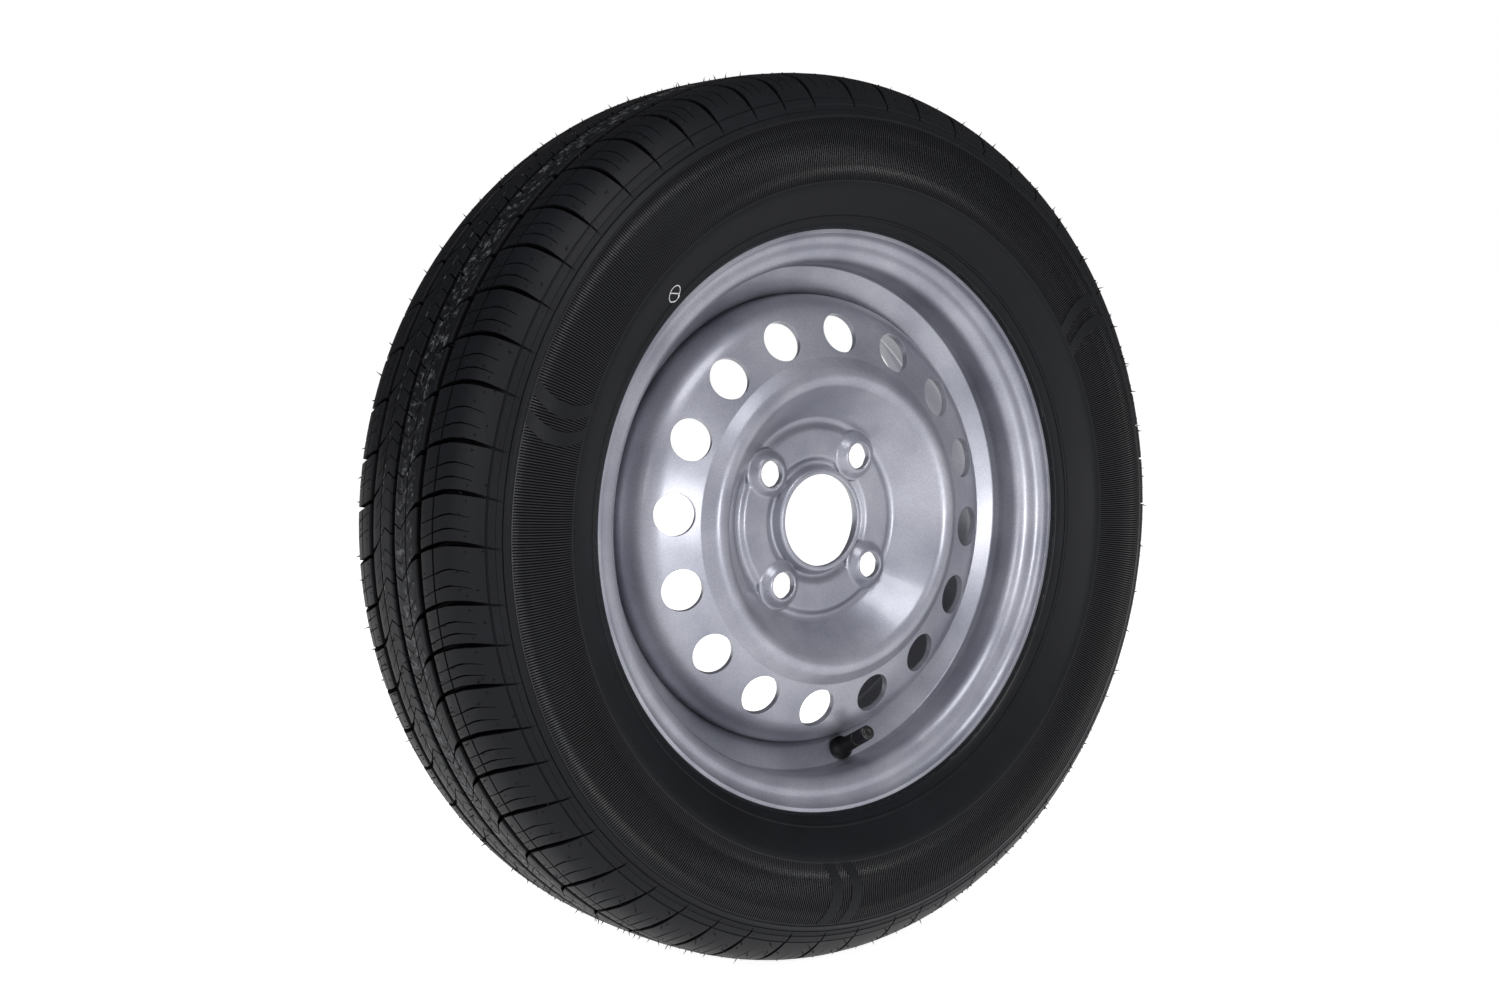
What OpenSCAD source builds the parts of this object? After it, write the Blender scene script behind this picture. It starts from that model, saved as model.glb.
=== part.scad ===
// Pressed-steel trailer wheel with its tyre and snap-in valve.
// The spin axis is Y, the outboard side faces -Y, and the origin is the centre of the rim.
// Every turned piece is drawn as a section [radius, axial place] and revolved.
// An axial place is measured from the hub mounting face, inboard positive.

/* [Rim] */
// Radius of the bead seat at the flange
seat_r = 164.7; // [163:0.1:167]
// Distance between the flanges, inside
rim_w = 101.6; // [95:0.1:108]
// Distance from the hub mounting face to the middle of the rim
rim_offset = 30; // [26:0.5:34]
// Height of the flange above the bead seat
flange_h = 17.3; // [16:0.1:18]
// Radius of the flange's outward curl
flange_curl_r = 9.5; // [8.5:0.1:10.5]
// Overhang of the flange's lip outside the bead
lip_w = 10.2; // [9.9:0.1:11]
// Thickness of the rim's sheet
rim_t = 2.5; // [2:0.1:3]
// Radius of the corner between the bead seat and the flange
bead_corner_r = 6.5; // [5.5:0.1:7]
// Taper of the bead seat, in degrees
seat_taper = 5; // [4:0.5:6]
// Distance from the flange to the crest of a safety hump
hump_at = 19.2; // [18:0.1:21]
// Height of a hump's crest above the seat beside it
hump_h = 1.3; // [0.8:0.1:1.8]
// Depth of the well below the bead seat
well_depth = 19; // [17:0.1:20]
// Width of the well's floor
well_w = 24.5; // [22:0.5:27]
// Distance from the outboard flange to the well's floor
well_at = 33.3; // [32:0.1:34.5]
// Lean of the well's outboard wall, in degrees
well_wall_lean = 26; // [22:1:29]

// Drop from the bead seat to the corner where the well's outboard wall starts
well_lip_drop = 2.2; // [2:0.1:3.2]

/* [Disc] */
// Thickness of the disc's sheet
disc_t = 4; // [3.2:0.1:4.4]
// Radius of the centre bore
bore_r = 29.1; // [27.5:0.1:30]
// Height of the bore's collar in front of the mounting face
collar_h = 10.8; // [9.5:0.1:12]
// Length of the bore's straight wall
bore_wall = 3.6; // [2.5:0.1:4.5]
// Height of the flat bolting face in front of the two contact rings
face_rise = 2.2; // [1:0.1:3]
// Radius where the dish leaves the outer contact ring
dish_r = 63.6; // [62.5:0.1:65]
// Slope of the dish's inner wall, in degrees
dish_slope = 47.3; // [45:0.1:50]
// Radius of the corner of the crown ring before it is rounded
crown_r = 90.1; // [88.5:0.1:91.5]
// Rounding of the crown ring
crown_round = 9; // [7.5:0.1:10]
// Radius of the crease between the crown and the vent ring
crease_r = 103; // [101.5:0.1:104]
// Slope of the vent ring, in degrees
vent_slope = 19.9; // [18:0.1:22]
// Axial place of the crease in front of the mounting face
crease_at = 22.9; // [22:0.1:24]
// Radius of the bend from the vent ring into the skirt
skirt_bend = 26; // [22:0.5:28]
// Distance from the mounting face to the skirt's end
skirt_end = 22; // [19:0.5:24]
// Radial gap between the skirt and the well
skirt_clearance = 0.06; // [0.04:0.01:0.1]
// Number of vent holes
vent_count = 16; // [12:1:16]
// Diameter of a vent hole
vent_d = 26.1; // [20:0.1:27]
// Radius of the circle of vent holes
vent_circle_r = 118.5; // [117:0.1:120]
// Clock angle of the first vent hole
vent_clock = 85.6; // [80:0.1:90]
// Number of weld beads between the skirt and the well
weld_count = 8; // [4:1:10]
// Arc that one weld bead covers, in degrees
weld_arc = 24; // [14:1:30]
// Leg of a weld bead
weld_leg = 4; // [3:0.1:5]

/* [Bolt holes] */
// Number of bolt holes
bolt_count = 4; // [3:1:5]
// Diameter of the bolt circle
bolt_circle_d = 100; // [98:0.1:101]
// Diameter of a bolt hole
bolt_hole_d = 16.6; // [15:0.1:17]
// Clock angle of the first bolt hole
bolt_clock = 52.5; // [45:0.1:60]
// Radius of a bolt boss at its foot
boss_r = 15.6; // [15:0.1:16.2]
// Height of a bolt boss in front of the mounting face
boss_h = 11; // [10:0.1:12]
// Radius of the pocket pressed into the dish behind each boss
pocket_r = 18; // [17:0.1:19]

/* [Tyre] */
// Outer diameter of the tyre
tyre_d = 562; // [555:1:570]
// Width of the tyre at its widest
section_w = 165.4; // [162:0.2:170]
// Place of the tyre's widest line, as a share of the way from the flange to the crown
widest_share = 0.465; // [0.42:0.005:0.51]
// Half width of the tread at the shoulder
shoulder_half = 63.8; // [62:0.1:66]
// Drop from the crown to the shoulder
shoulder_drop = 12.3; // [11:0.1:14]
// Slope of the shoulder, in degrees
shoulder_slope = 40; // [36:1:44]
// Depth of the tread grooves
tread_depth = 7; // [5:0.1:8]
// Rubber and belts under the tread grooves
under_tread = 5.5; // [4.5:0.1:7]
// Thickness of the sidewall at the widest line
sidewall_t = 6; // [4.5:0.1:8]
// Width of a bead
bead_w = 16; // [14:0.1:17]
// Gap between the tyre and the rim
bead_clearance = 0.12; // [0.08:0.01:0.25]
// Width of the two main grooves
groove_w = 6; // [5:0.1:7]
// Distance from the tread's middle to a main groove
groove_at = 28; // [26.5:0.1:29]
// Width of the middle groove
mid_groove_w = 4.6; // [4:0.1:6]
// Width of a cross groove in the shoulder
cross_w = 3; // [2.4:0.1:3.4]
// Distance from the tread's middle to the end of a cross groove
cross_end = 71; // [70:0.1:72]
// Clock angle of the first cross groove
cross_clock = 245; // [240:1:250]
// Turn of the inner shoulder's cross grooves against the outer ones, in pitches
cross_stagger = 0.43; // [0.2:0.01:0.6]

/* [Valve] */
// Clock angle of the valve
valve_clock = 280.5; // [278:0.1:282]
// Place of the valve on the well's wall, from its foot
valve_up_wall = 11.9; // [11.5:0.1:12.5]
// Diameter of the valve hole
valve_hole_d = 11.5; // [11.3:0.1:12]
// Length of the valve outside the rim, without its cap
valve_l = 34; // [33:0.5:36]
// Diameter of the rubber button outside the rim
button_d = 15; // [14:0.1:15.2]
// Diameter of the rubber bulb inside the rim
bulb_d = 16.6; // [15.5:0.1:17]
// Diameter of the rubber sleeve
sleeve_d = 9.8; // [9.4:0.1:10.5]
// Length of the brass thread that the rubber leaves bare
thread_l = 11; // [10:0.5:12]
// Diameter of the brass thread
thread_d = 7.7; // [7.4:0.1:7.9]
// Diameter of the stem's upper bore, which holds the core
core_bore_d = 5.2; // [5:0.1:5.4]
// Length of the stem's upper bore
core_bore_l = 22; // [21:0.5:23]
// Outer diameter of the cap
cap_d = 9.6; // [9.4:0.1:10.4]
// Length of the cap
cap_l = 12.4; // [11.8:0.1:12.8]
// Thickness of the cap's end
cap_end_t = 1.6; // [1.2:0.1:2]
// Gap between the cap and the thread
cap_clearance = 0.12; // [0.05:0.01:0.15]
// Number of grip flutes on the cap
cap_flutes = 16; // [12:1:20]
// Gap round the moving pin of the core
pin_clearance = 0.05; // [0.03:0.01:0.08]
// Diameter of the core's pin
pin_d = 1.2; // [1:0.1:1.4]

/* [Hidden] */
silver_paint = [0.66, 0.67, 0.71];
tyre_black = [0.13, 0.13, 0.14];
rubber_black = [0.07, 0.07, 0.08];
brass_yellow = [0.78, 0.62, 0.32];
steel_grey = [0.7, 0.7, 0.72];
seal_red = [0.6, 0.16, 0.12];
fine = 96;
small = 32;
// Turn between two points of a rounded corner, in degrees, on wide arcs and on tight ones
arc_step = 9;
tight_arc_step = 18;
tight_r = 5;
curve_steps = 7;
// Length of the tools that cut holes and grooves right through
cutter_h = 50;

// Places worked out from the rim's own sizes
flange_out = rim_offset - rim_w / 2;
flange_r = seat_r + flange_h;
well_r = seat_r - well_depth;
well_inner_r = well_r - rim_t;
well_floor_out = flange_out + well_at;
well_floor_in = well_floor_out + well_w;
rim_in = rim_offset + rim_w / 2;

// Places worked out from the disc's own sizes
ring_face = -disc_t;
bolt_face = -disc_t - face_rise;
skirt_r = well_inner_r - skirt_clearance;
skirt_corner_at = -crease_at + (skirt_r - crease_r) * tan(vent_slope);
vent_at = -crease_at + (vent_circle_r - crease_r) * tan(vent_slope);
boss_face_round = 2.2;
collar_w = 3.4;
collar_foot_w = 5.7;
moat_w = 3;
face_slope_w = 2;
bolt_face_end = dish_r - 5.4;
crown_tip = ring_face - (crown_r - dish_r) * tan(dish_slope);

// Places worked out from the tyre's own sizes
tyre_r = tyre_d / 2;
widest_r = flange_r + widest_share * (tyre_r - flange_r);
shoulder_r = tyre_r - shoulder_drop;
groove_floor_r = tyre_r - tread_depth;

// Tread pitches, short, medium and long, in the order that repeats four times round the tyre
pitch_order = "MMMLMMSMSSLMMLM";
pitch_repeats = 4;
function pitch_size(c) = c == "S" ? 5.1 : c == "L" ? 6.95 : 6;
pitch_total = total([for (c = pitch_order) pitch_size(c)]);
pitch_deg = [for (c = pitch_order) pitch_size(c) * 360 / pitch_repeats / pitch_total];

// Sum of the first n entries of a list
function total(v, n = -1, i = 0) = i >= (n < 0 ? len(v) : n) ? 0 : v[i] + total(v, n, i + 1);

// Unit vector from a to b, and the normal on its left
function unit(a, b) = (b - a) / norm(b - a);
function left(d) = [-d[1], d[0]];
function xy(p) = [p[0], p[1]];

// Signed turn at a corner between two directions, in degrees
function turn(d, e) = atan2(d[0] * e[1] - d[1] * e[0], d * e);

// A path of corners [x, y, radius] moved sideways by s to its left, with its radii changed to match
function shifted(path, s) = [
    for (i = [0 : len(path) - 1])
        let (a = i == 0 ? unit(xy(path[0]), xy(path[1])) : unit(xy(path[i - 1]), xy(path[i])),
             b = i == len(path) - 1 ? a : unit(xy(path[i]), xy(path[i + 1])),
             half = turn(a, b) / 2,
             m = left(unit([0, 0], a + b)),
             p = xy(path[i]) + m * s / cos(half))
        [p[0], p[1], path[i][2] == 0 ? 0 : max(0, path[i][2] - s * sign(turn(a, b)))]
];

// The points of a path of corners [x, y, radius], each corner rounded by an arc
function rounded(path) = [
    for (i = [0 : len(path) - 1])
        let (p = xy(path[i]), r = path[i][2])
        if (i == 0 || i == len(path) - 1 || r <= 0) p
        else
            let (a = unit(xy(path[i - 1]), p), b = unit(p, xy(path[i + 1])), t = turn(a, b),
                 cut = r * tan(abs(t) / 2), n = max(1, ceil(abs(t) / (r < tight_r ? tight_arc_step : arc_step))),
                 c = p - a * cut + left(a) * r * sign(t))
            each [for (k = [0 : n])
                let (w = t * k / n, v = -left(a) * r * sign(t))
                c + [v[0] * cos(w) - v[1] * sin(w), v[0] * sin(w) + v[1] * cos(w)]]
];

function reversed(v) = [for (i = [len(v) - 1 : -1 : 0]) v[i]];
function mirrored(v, at) = [for (p = v) [p[0], 2 * at - p[1]]];

// Points of a cubic curve from p to q, which leaves at angle a and arrives at angle b. Each angle is held
// for a share of the way that the curve goes in its direction, so the curve keeps its form at other sizes.
// An angle is measured from the axial direction towards the axle.
function heading(a) = [-sin(a), cos(a)];
function handle(p, q, a, share) = heading(a) * share * max(0, (q - p) * heading(a));
function curve(p, a, leave, q, b, arrive) = [
    for (k = [1 : curve_steps])
        let (t = k / curve_steps, s = 1 - t, h = p + handle(p, q, a, leave), g = q - handle(p, q, b, arrive))
        p * s * s * s + h * 3 * s * s * t + g * 3 * s * t * t + q * t * t * t
];

// Turns a section drawn as [radius, axial place] round the wheel's spin axis
module revolve(section, segments = fine) {
    rotate_extrude($fn = segments) polygon(section);
}

// Stands local Z along the spin axis, inboard positive, with its zero at the hub mounting face
module on_axle() {
    rotate([-90, 0, 0]) translate([0, 0, -rim_offset]) children();
}

// Turns a piece to a clock angle, seen from the outboard side
module clock(angle) {
    rotate([0, 0, -angle]) children();
}

// Tyre-side line of the rim from the outboard lip to the inboard lip
function seat_at(d) = seat_r - d * tan(seat_taper);
hump_run = 5.5;
hump_foot_round = 4;
hump_round = 3.5;
function bead_line(side) = let (edge = side > 0 ? flange_out : rim_in) [
    [flange_r, edge - lip_w * side, 0],
    [flange_r, edge, flange_curl_r],
    [seat_r, edge, bead_corner_r],
    [seat_at(hump_at - hump_run), edge + (hump_at - hump_run) * side, hump_foot_round],
    [seat_at(hump_at) + hump_h, edge + hump_at * side, hump_round]
];
well_lip_r = seat_r - well_lip_drop;
inner_lip_drop = 0.6;
wall_run = (well_lip_r - well_r) * tan(well_wall_lean);
rim_line = concat(
    bead_line(1),
    [[well_lip_r, well_floor_out - wall_run, 4],
     [well_r, well_floor_out, 6],
     [well_r, well_floor_in, 9],
     [well_lip_r - inner_lip_drop, well_floor_in + wall_run, 8]],
    reversed(bead_line(-1))
);

// Radius line of the valve's seat on the well wall's open side, and the valve's own direction
wall_foot = [well_inner_r, well_floor_out - rim_t * tan(45 - well_wall_lean / 2)];
valve_seat = wall_foot + valve_up_wall * [cos(well_wall_lean), -sin(well_wall_lean)];

module at_valve() {
    on_axle() clock(valve_clock) translate([valve_seat[0], 0, valve_seat[1]])
        rotate([0, 180 + well_wall_lean, 0]) children();
}

module rim() {
    color(silver_paint) difference() {
        on_axle() revolve(concat(rounded(rim_line), reversed(rounded(shifted(rim_line, rim_t)))));
        at_valve() translate([0, 0, -8]) cylinder(d = valve_hole_d, h = 16, $fn = small);
    }
}

// Front line of the disc from the foot of the collar to the end of the skirt
disc_line = [
    [bore_r + collar_foot_w, ring_face, 0],
    [bore_r + collar_foot_w + moat_w, ring_face, 0],
    [bore_r + collar_foot_w + moat_w + face_slope_w, bolt_face, 0],
    [bolt_face_end, bolt_face, 0],
    [bolt_face_end + face_slope_w, ring_face, 0],
    [dish_r, ring_face, 3],
    [crown_r, crown_tip, crown_round],
    [crease_r, -crease_at, 2],
    [skirt_r, skirt_corner_at, skirt_bend],
    [skirt_r, skirt_end, 0]
];

// Front line of the bore's collar, which stands out of the disc
collar_line = [
    [bore_r, -collar_h, 0],
    [bore_r + collar_w, -collar_h, boss_face_round],
    [bore_r + collar_foot_w, ring_face, 1.4],
    [bore_r + collar_foot_w + moat_w, ring_face, 0]
];

// Section of one bolt boss, from its own centre
boss_hole_r = bolt_hole_d / 2;
boss_chamfer = 1;
boss_root = -disc_t + 1;
boss_outline = [
    [0, -boss_h, 0],
    [boss_hole_r + 2.8, -boss_h, boss_face_round],
    [boss_r, bolt_face - 0.2, 0],
    [boss_r, boss_root, 0],
    [0, boss_root, 0]
];
boss_hollow = [
    [0, 1], [boss_r - 3.4, 1], [boss_r - 3.8, bolt_face + disc_t - 0.6], [boss_hole_r + 1.4, -boss_h + disc_t],
    [0, -boss_h + disc_t]
];

module each_bolt() {
    for (i = [0 : bolt_count - 1])
        clock(bolt_clock + i * 360 / bolt_count) translate([bolt_circle_d / 2, 0, 0]) children();
}

module each_vent() {
    for (i = [0 : vent_count - 1])
        clock(vent_clock + i * 360 / vent_count)
            translate([vent_circle_r, 0, vent_at]) rotate([0, -vent_slope, 0]) children();
}

module disc_sheet() {
    front = rounded(concat(collar_line, [for (i = [2 : len(disc_line) - 1]) disc_line[i]]));
    back = reversed(rounded(shifted(disc_line, disc_t)));
    revolve(concat(front, back, [[bore_r + 4.3, 0], [bore_r, -collar_h + bore_wall]]));
}

module wheel_disc() {
    color(silver_paint) on_axle() difference() {
        union() {
            difference() {
                disc_sheet();
                each_vent() cylinder(d = vent_d, h = cutter_h, center = true, $fn = small * 2);
                each_bolt() translate([0, 0, bolt_face - cutter_h - 0.1])
                    cylinder(r = pocket_r, h = cutter_h, $fn = small * 2);
            }
            each_bolt() revolve(rounded(boss_outline), small * 2);
        }
        each_bolt() revolve(boss_hollow, small * 2);
        each_bolt() translate([0, 0, -boss_h - 1]) cylinder(d = bolt_hole_d, h = boss_h + 2, $fn = small * 2);
        each_bolt() translate([0, 0, -boss_h - 1])
            cylinder(r1 = boss_hole_r + boss_chamfer + 1, r2 = boss_hole_r, h = boss_chamfer + 1, $fn = small * 2);
    }
}

module disc_welds() {
    color(silver_paint) on_axle()
        for (i = [0 : weld_count - 1])
            rotate([0, 0, i * 360 / weld_count - weld_arc / 2])
                rotate_extrude(angle = weld_arc, $fn = fine)
                    polygon([[skirt_r, skirt_end], [skirt_r - weld_leg * 0.9, skirt_end],
                             [skirt_r - weld_leg * 0.5, skirt_end + weld_leg * 0.6],
                             [skirt_r, skirt_end + weld_leg]]);
}

// Outer line of half the tyre, from the middle of the tread to the flange, as [radius, distance from middle]
bead_edge = rim_w / 2;
crown_point = [tyre_r, 0];
shoulder_point = [shoulder_r, shoulder_half];
widest_point = [widest_r, section_w / 2];
rib_over_flange = 2;
rib_past_lip = 3.8;
flange_heading = 125;
flange_point = [flange_r + rib_over_flange, bead_edge + lip_w + rib_past_lip];
outer_half = concat(
    [crown_point],
    curve(crown_point, 0, 0.596, shoulder_point, shoulder_slope, 0.282),
    curve(shoulder_point, shoulder_slope, 0.295, widest_point, 90, 0.443),
    curve(widest_point, 90, 0.409, flange_point, flange_heading, 0.302)
);

// Bead line from the flange's lip to the toe, which follows the rim
bead_gap_line = [
    [flange_r + bead_clearance, bead_edge + lip_w, 0],
    [flange_r + bead_clearance, bead_edge - bead_clearance, flange_curl_r + bead_clearance],
    [seat_r + bead_clearance, bead_edge - bead_clearance, bead_corner_r - bead_clearance],
    [seat_at(bead_w) + bead_clearance + hump_h, bead_edge - bead_w, 0]
];

// Inner line of half the tyre, from the toe to the middle
toe_over_seat = 2.4;
toe_slant = 0.6;
toe_heading = -130;
toe_point = [seat_r + toe_over_seat, bead_edge - bead_w - toe_slant];
inner_wide = [widest_r, section_w / 2 - sidewall_t];
inner_crown = [groove_floor_r - under_tread, 0];
inner_half = concat(
    [toe_point],
    curve(toe_point, toe_heading, 0.826, inner_wide, -90, 0.427),
    curve(inner_wide, -90, 0.593, inner_crown, -180, 0.678)
);
half_section = concat(outer_half, rounded(bead_gap_line), inner_half);

// Floor that the cross grooves are cut down to, deep at the main grooves and shallow at the sidewall
floor_past_end = 2;
block_slope_w = 10;
block_floor_drop = 2.5;
shoulder_floor_drop = 0.113 * (shoulder_r - widest_r);
end_floor_drop = 0.236 * (shoulder_r - widest_r);
floor_half = [
    [groove_floor_r, 0], [groove_floor_r - 0.7, groove_at],
    [shoulder_r - block_floor_drop, shoulder_half - block_slope_w],
    [shoulder_r - shoulder_floor_drop, shoulder_half],
    [shoulder_r - end_floor_drop, cross_end + floor_past_end]
];

// Middle line of a cross groove, as [distance round the tread, distance across it, half width]. It bends
// twice between the shoulder and the middle groove.
cross_line = [
    [-1.6, -cross_end, cross_w * 0.25], [-0.4, -64, cross_w / 2], [-0.1, -55.5, cross_w / 2],
    [-1.7, -44.7, cross_w / 2], [-5.5, -31, cross_w * 0.38], [-8.7, -25, cross_w * 0.46],
    [-15.3, -17, cross_w * 0.16]
];
cross_outline = concat(
    [for (p = cross_line) [p[0] - p[2], p[1]]],
    reversed([for (p = cross_line) [p[0] + p[2], p[1]]])
);

module cross_groove() {
    rotate([90, 0, 90]) translate([0, 0, shoulder_r - cutter_h / 2]) linear_extrude(cutter_h) polygon(cross_outline);
}

// One cross groove at every pitch. A stagger moves it by a share of that pitch.
module each_pitch(stagger) {
    for (quarter = [0 : pitch_repeats - 1], k = [0 : len(pitch_deg) - 1])
        rotate([0, 0, quarter * 360 / pitch_repeats + total(pitch_deg, k) + stagger * pitch_deg[k] - cross_clock])
            children();
}

module tyre() {
    half = reversed([for (p = half_section) [p[0], rim_offset + p[1]]]);
    body = concat(half, reversed(mirrored(half, rim_offset)));
    color(tyre_black) on_axle() difference() {
        revolve(body);
        difference() {
            translate([0, 0, rim_offset]) {
                each_pitch(0) cross_groove();
                each_pitch(cross_stagger) rotate([180, 0, 0]) cross_groove();
            }
            translate([0, 0, rim_offset])
                revolve(concat([[0, -cross_end - floor_past_end]], reversed(mirrored(floor_half, 0)), floor_half,
                               [[0, cross_end + floor_past_end]]));
        }
        for (side = [-1, 1]) translate([0, 0, rim_offset + side * groove_at]) tread_groove(groove_w);
        translate([0, 0, rim_offset]) tread_groove(mid_groove_w);
    }
}

// A groove round the tread, with walls that lean out a little
module tread_groove(w) {
    revolve([[groove_floor_r - 0.6, -w * 0.36], [tyre_r + 1, -w * 0.52],
             [tyre_r + 1, w * 0.52], [groove_floor_r - 0.6, w * 0.36]]);
}

// Lengths along the valve, from the rim's open face outwards
thread_foot = valve_l - thread_l;
core_floor = valve_l - core_bore_l;
bulb_end = -rim_t - 7;
stem_foot = -rim_t - 3;
air_hole_r = 1.5;
core_r = core_bore_d / 2;
thread_r = thread_d / 2;
pin_r = pin_d / 2;
plug_top = valve_l - 1.4;
plug_foot = plug_top - 6;
barrel_foot = plug_foot - 7.2;
cup_h = 2.4;
barrel_r = core_r - 0.55;
barrel_bore_r = barrel_r - 0.4;
spring_wire_r = 0.2;
spring_r = pin_r + spring_wire_r + 0.12;
spring_foot = barrel_foot + 1;
collar_at = plug_foot - 0.8;
cap_top = valve_l + 1 + cap_end_t;
seal_gap = 0.1;

module valve_body() {
    waist_r = valve_hole_d / 2 - 0.05;
    button_seat = 0.35;
    bulb_seat = 0.15;
    outline = [
        [thread_r - 0.6, thread_foot, 0], [sleeve_d / 2, thread_foot, 0.6], [sleeve_d / 2 + 0.2, 8, 4],
        [button_d / 2, 4.2, 1.6], [button_d / 2, button_seat, 0.5], [waist_r, button_seat, 0],
        [waist_r, -rim_t - bulb_seat, 0], [bulb_d / 2, -rim_t - bulb_seat, 0.5],
        [bulb_d / 2, -rim_t - 2.6, 1.4], [4.6, bulb_end, 1.5],
        [air_hole_r, bulb_end, 0], [air_hole_r, stem_foot, 0], [thread_r - 0.6, stem_foot, 0]
    ];
    color(rubber_black) at_valve() revolve(rounded(outline), small);
}

module valve_stem() {
    color(brass_yellow) at_valve() revolve([
        [air_hole_r, stem_foot], [thread_r - 0.6, stem_foot], [thread_r - 0.6, thread_foot],
        [thread_r, thread_foot], [thread_r, valve_l - 0.5], [thread_r - 0.5, valve_l],
        [core_r, valve_l], [core_r, core_floor], [air_hole_r, core_floor - 2]
    ], small);
}

module core_plug() {
    color(brass_yellow) at_valve() difference() {
        translate([0, 0, plug_foot]) cylinder(r = core_r - 0.02, h = plug_top - plug_foot, $fn = small);
        translate([0, 0, plug_foot - 1]) cylinder(r = pin_r + pin_clearance, h = 9, $fn = small);
        translate([-core_r, core_r * 0.55, plug_top - 3]) cube([core_bore_d, core_r, 4]);
        translate([-core_r, -core_r * 1.55, plug_top - 3]) cube([core_bore_d, core_r, 4]);
    }
}

module core_barrel() {
    color(brass_yellow) at_valve() revolve([
        [barrel_bore_r, plug_foot - 0.02], [barrel_r, plug_foot - 0.02], [barrel_r, barrel_foot],
        [pin_r + 0.5, barrel_foot], [pin_r + 0.25, spring_foot], [barrel_bore_r, spring_foot]
    ], small);
}

module core_barrel_seal() {
    color(seal_red) at_valve() revolve([
        [barrel_r + 0.02, barrel_foot + 2.2], [barrel_r + 0.3, barrel_foot + 1.9], [core_r - 0.03, barrel_foot + 3.4],
        [core_r - 0.03, barrel_foot + 5], [barrel_r + 0.02, barrel_foot + 5]
    ], small);
}

module core_pin() {
    cup_foot = barrel_foot - cup_h;
    color(steel_grey) at_valve() revolve([
        [0, cup_foot - 0.8], [pin_r, cup_foot - 0.8], [pin_r, collar_at], [barrel_bore_r - 0.15, collar_at],
        [barrel_bore_r - 0.15, collar_at + 0.5], [pin_r, collar_at + 0.5], [pin_r, valve_l - 0.6],
        [pin_r * 0.7, valve_l - 0.3], [0, valve_l - 0.3]
    ], small);
}

module core_plunger_cup() {
    cup_foot = barrel_foot - cup_h;
    color(brass_yellow) at_valve() revolve([
        [pin_r + 0.01, cup_foot], [barrel_r, cup_foot], [barrel_r, barrel_foot - 0.6],
        [barrel_r - 0.25, barrel_foot - 0.6], [barrel_r - 0.25, cup_foot + 0.4], [pin_r + 0.01, cup_foot + 0.4]
    ], small);
}

module core_plunger_seal() {
    cup_foot = barrel_foot - cup_h;
    color(seal_red) at_valve() revolve([
        [pin_r + 0.02, cup_foot + 0.42], [barrel_r - 0.28, cup_foot + 0.42], [barrel_r - 0.28, barrel_foot - 0.05],
        [pin_r + 0.02, barrel_foot - 0.05]
    ], small);
}

// A coil spring as a stack of rings joined by their own slope
module core_spring() {
    turns = 7;
    rise = (collar_at - spring_foot - 2 * spring_wire_r - 0.06) / turns;
    color(steel_grey) at_valve() for (i = [0 : turns])
        translate([0, 0, spring_foot + spring_wire_r + 0.03 + i * rise])
            rotate_extrude($fn = small) translate([spring_r, 0]) circle(r = spring_wire_r, $fn = 16);
}

module valve_cap() {
    cap_foot = cap_top - cap_l;
    color(rubber_black) at_valve() difference() {
        revolve(rounded([
            [0, cap_top - 0.5, 0], [1.4, cap_top - 0.5, 0], [1.7, cap_top, 0], [2.9, cap_top, 0],
            [3.2, cap_top - 0.3, 0], [cap_d / 2, cap_top - 0.4, 0.9], [cap_d / 2, cap_foot, 0],
            [thread_r + cap_clearance, cap_foot, 0], [thread_r + cap_clearance, cap_top - cap_end_t, 0],
            [0, cap_top - cap_end_t, 0]
        ]), small);
        for (i = [0 : cap_flutes - 1])
            rotate([0, 0, i * 360 / cap_flutes]) translate([cap_d / 2 + 0.35, 0, cap_foot - 1])
                cylinder(r = 0.6, h = cap_l - 1.2, $fn = 16);
    }
}

module valve_cap_seal() {
    color(seal_red) at_valve() revolve([
        [1.9, valve_l + seal_gap], [thread_r - 0.35, valve_l + seal_gap],
        [thread_r - 0.35, cap_top - cap_end_t - 0.02], [1.9, cap_top - cap_end_t - 0.02]
    ], small);
}

tyre();
rim();
wheel_disc();
disc_welds();
valve_body();
valve_stem();
core_plug();
core_barrel();
core_barrel_seal();
core_pin();
core_plunger_cup();
core_plunger_seal();
core_spring();
valve_cap();
valve_cap_seal();
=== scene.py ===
"""Silver steel trailer wheel with its radial tyre and snap-in valve, dressed for the picture."""

import logging
import math
from dataclasses import dataclass, field
from enum import Enum
from functools import cached_property
from typing import Callable, Sequence

import bmesh
import bpy
import numpy as np
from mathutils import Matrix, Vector


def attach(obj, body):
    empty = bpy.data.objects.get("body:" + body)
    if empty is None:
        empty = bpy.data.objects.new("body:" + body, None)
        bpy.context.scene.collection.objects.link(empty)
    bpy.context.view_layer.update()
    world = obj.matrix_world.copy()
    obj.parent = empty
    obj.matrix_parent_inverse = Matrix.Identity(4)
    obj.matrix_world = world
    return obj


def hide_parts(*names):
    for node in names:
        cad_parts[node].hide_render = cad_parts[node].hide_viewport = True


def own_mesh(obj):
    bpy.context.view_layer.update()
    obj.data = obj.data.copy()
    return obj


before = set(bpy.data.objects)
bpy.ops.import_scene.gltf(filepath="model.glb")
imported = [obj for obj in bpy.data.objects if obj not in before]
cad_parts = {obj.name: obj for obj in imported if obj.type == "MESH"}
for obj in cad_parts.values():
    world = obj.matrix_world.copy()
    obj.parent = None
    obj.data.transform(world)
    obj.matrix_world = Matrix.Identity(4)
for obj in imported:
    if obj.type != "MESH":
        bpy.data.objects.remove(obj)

LOG = logging.getLogger("wheel")
MM = 0.001
TURN = 2 * math.pi
WHITE = (1.0, 1.0, 1.0, 1.0)
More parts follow.
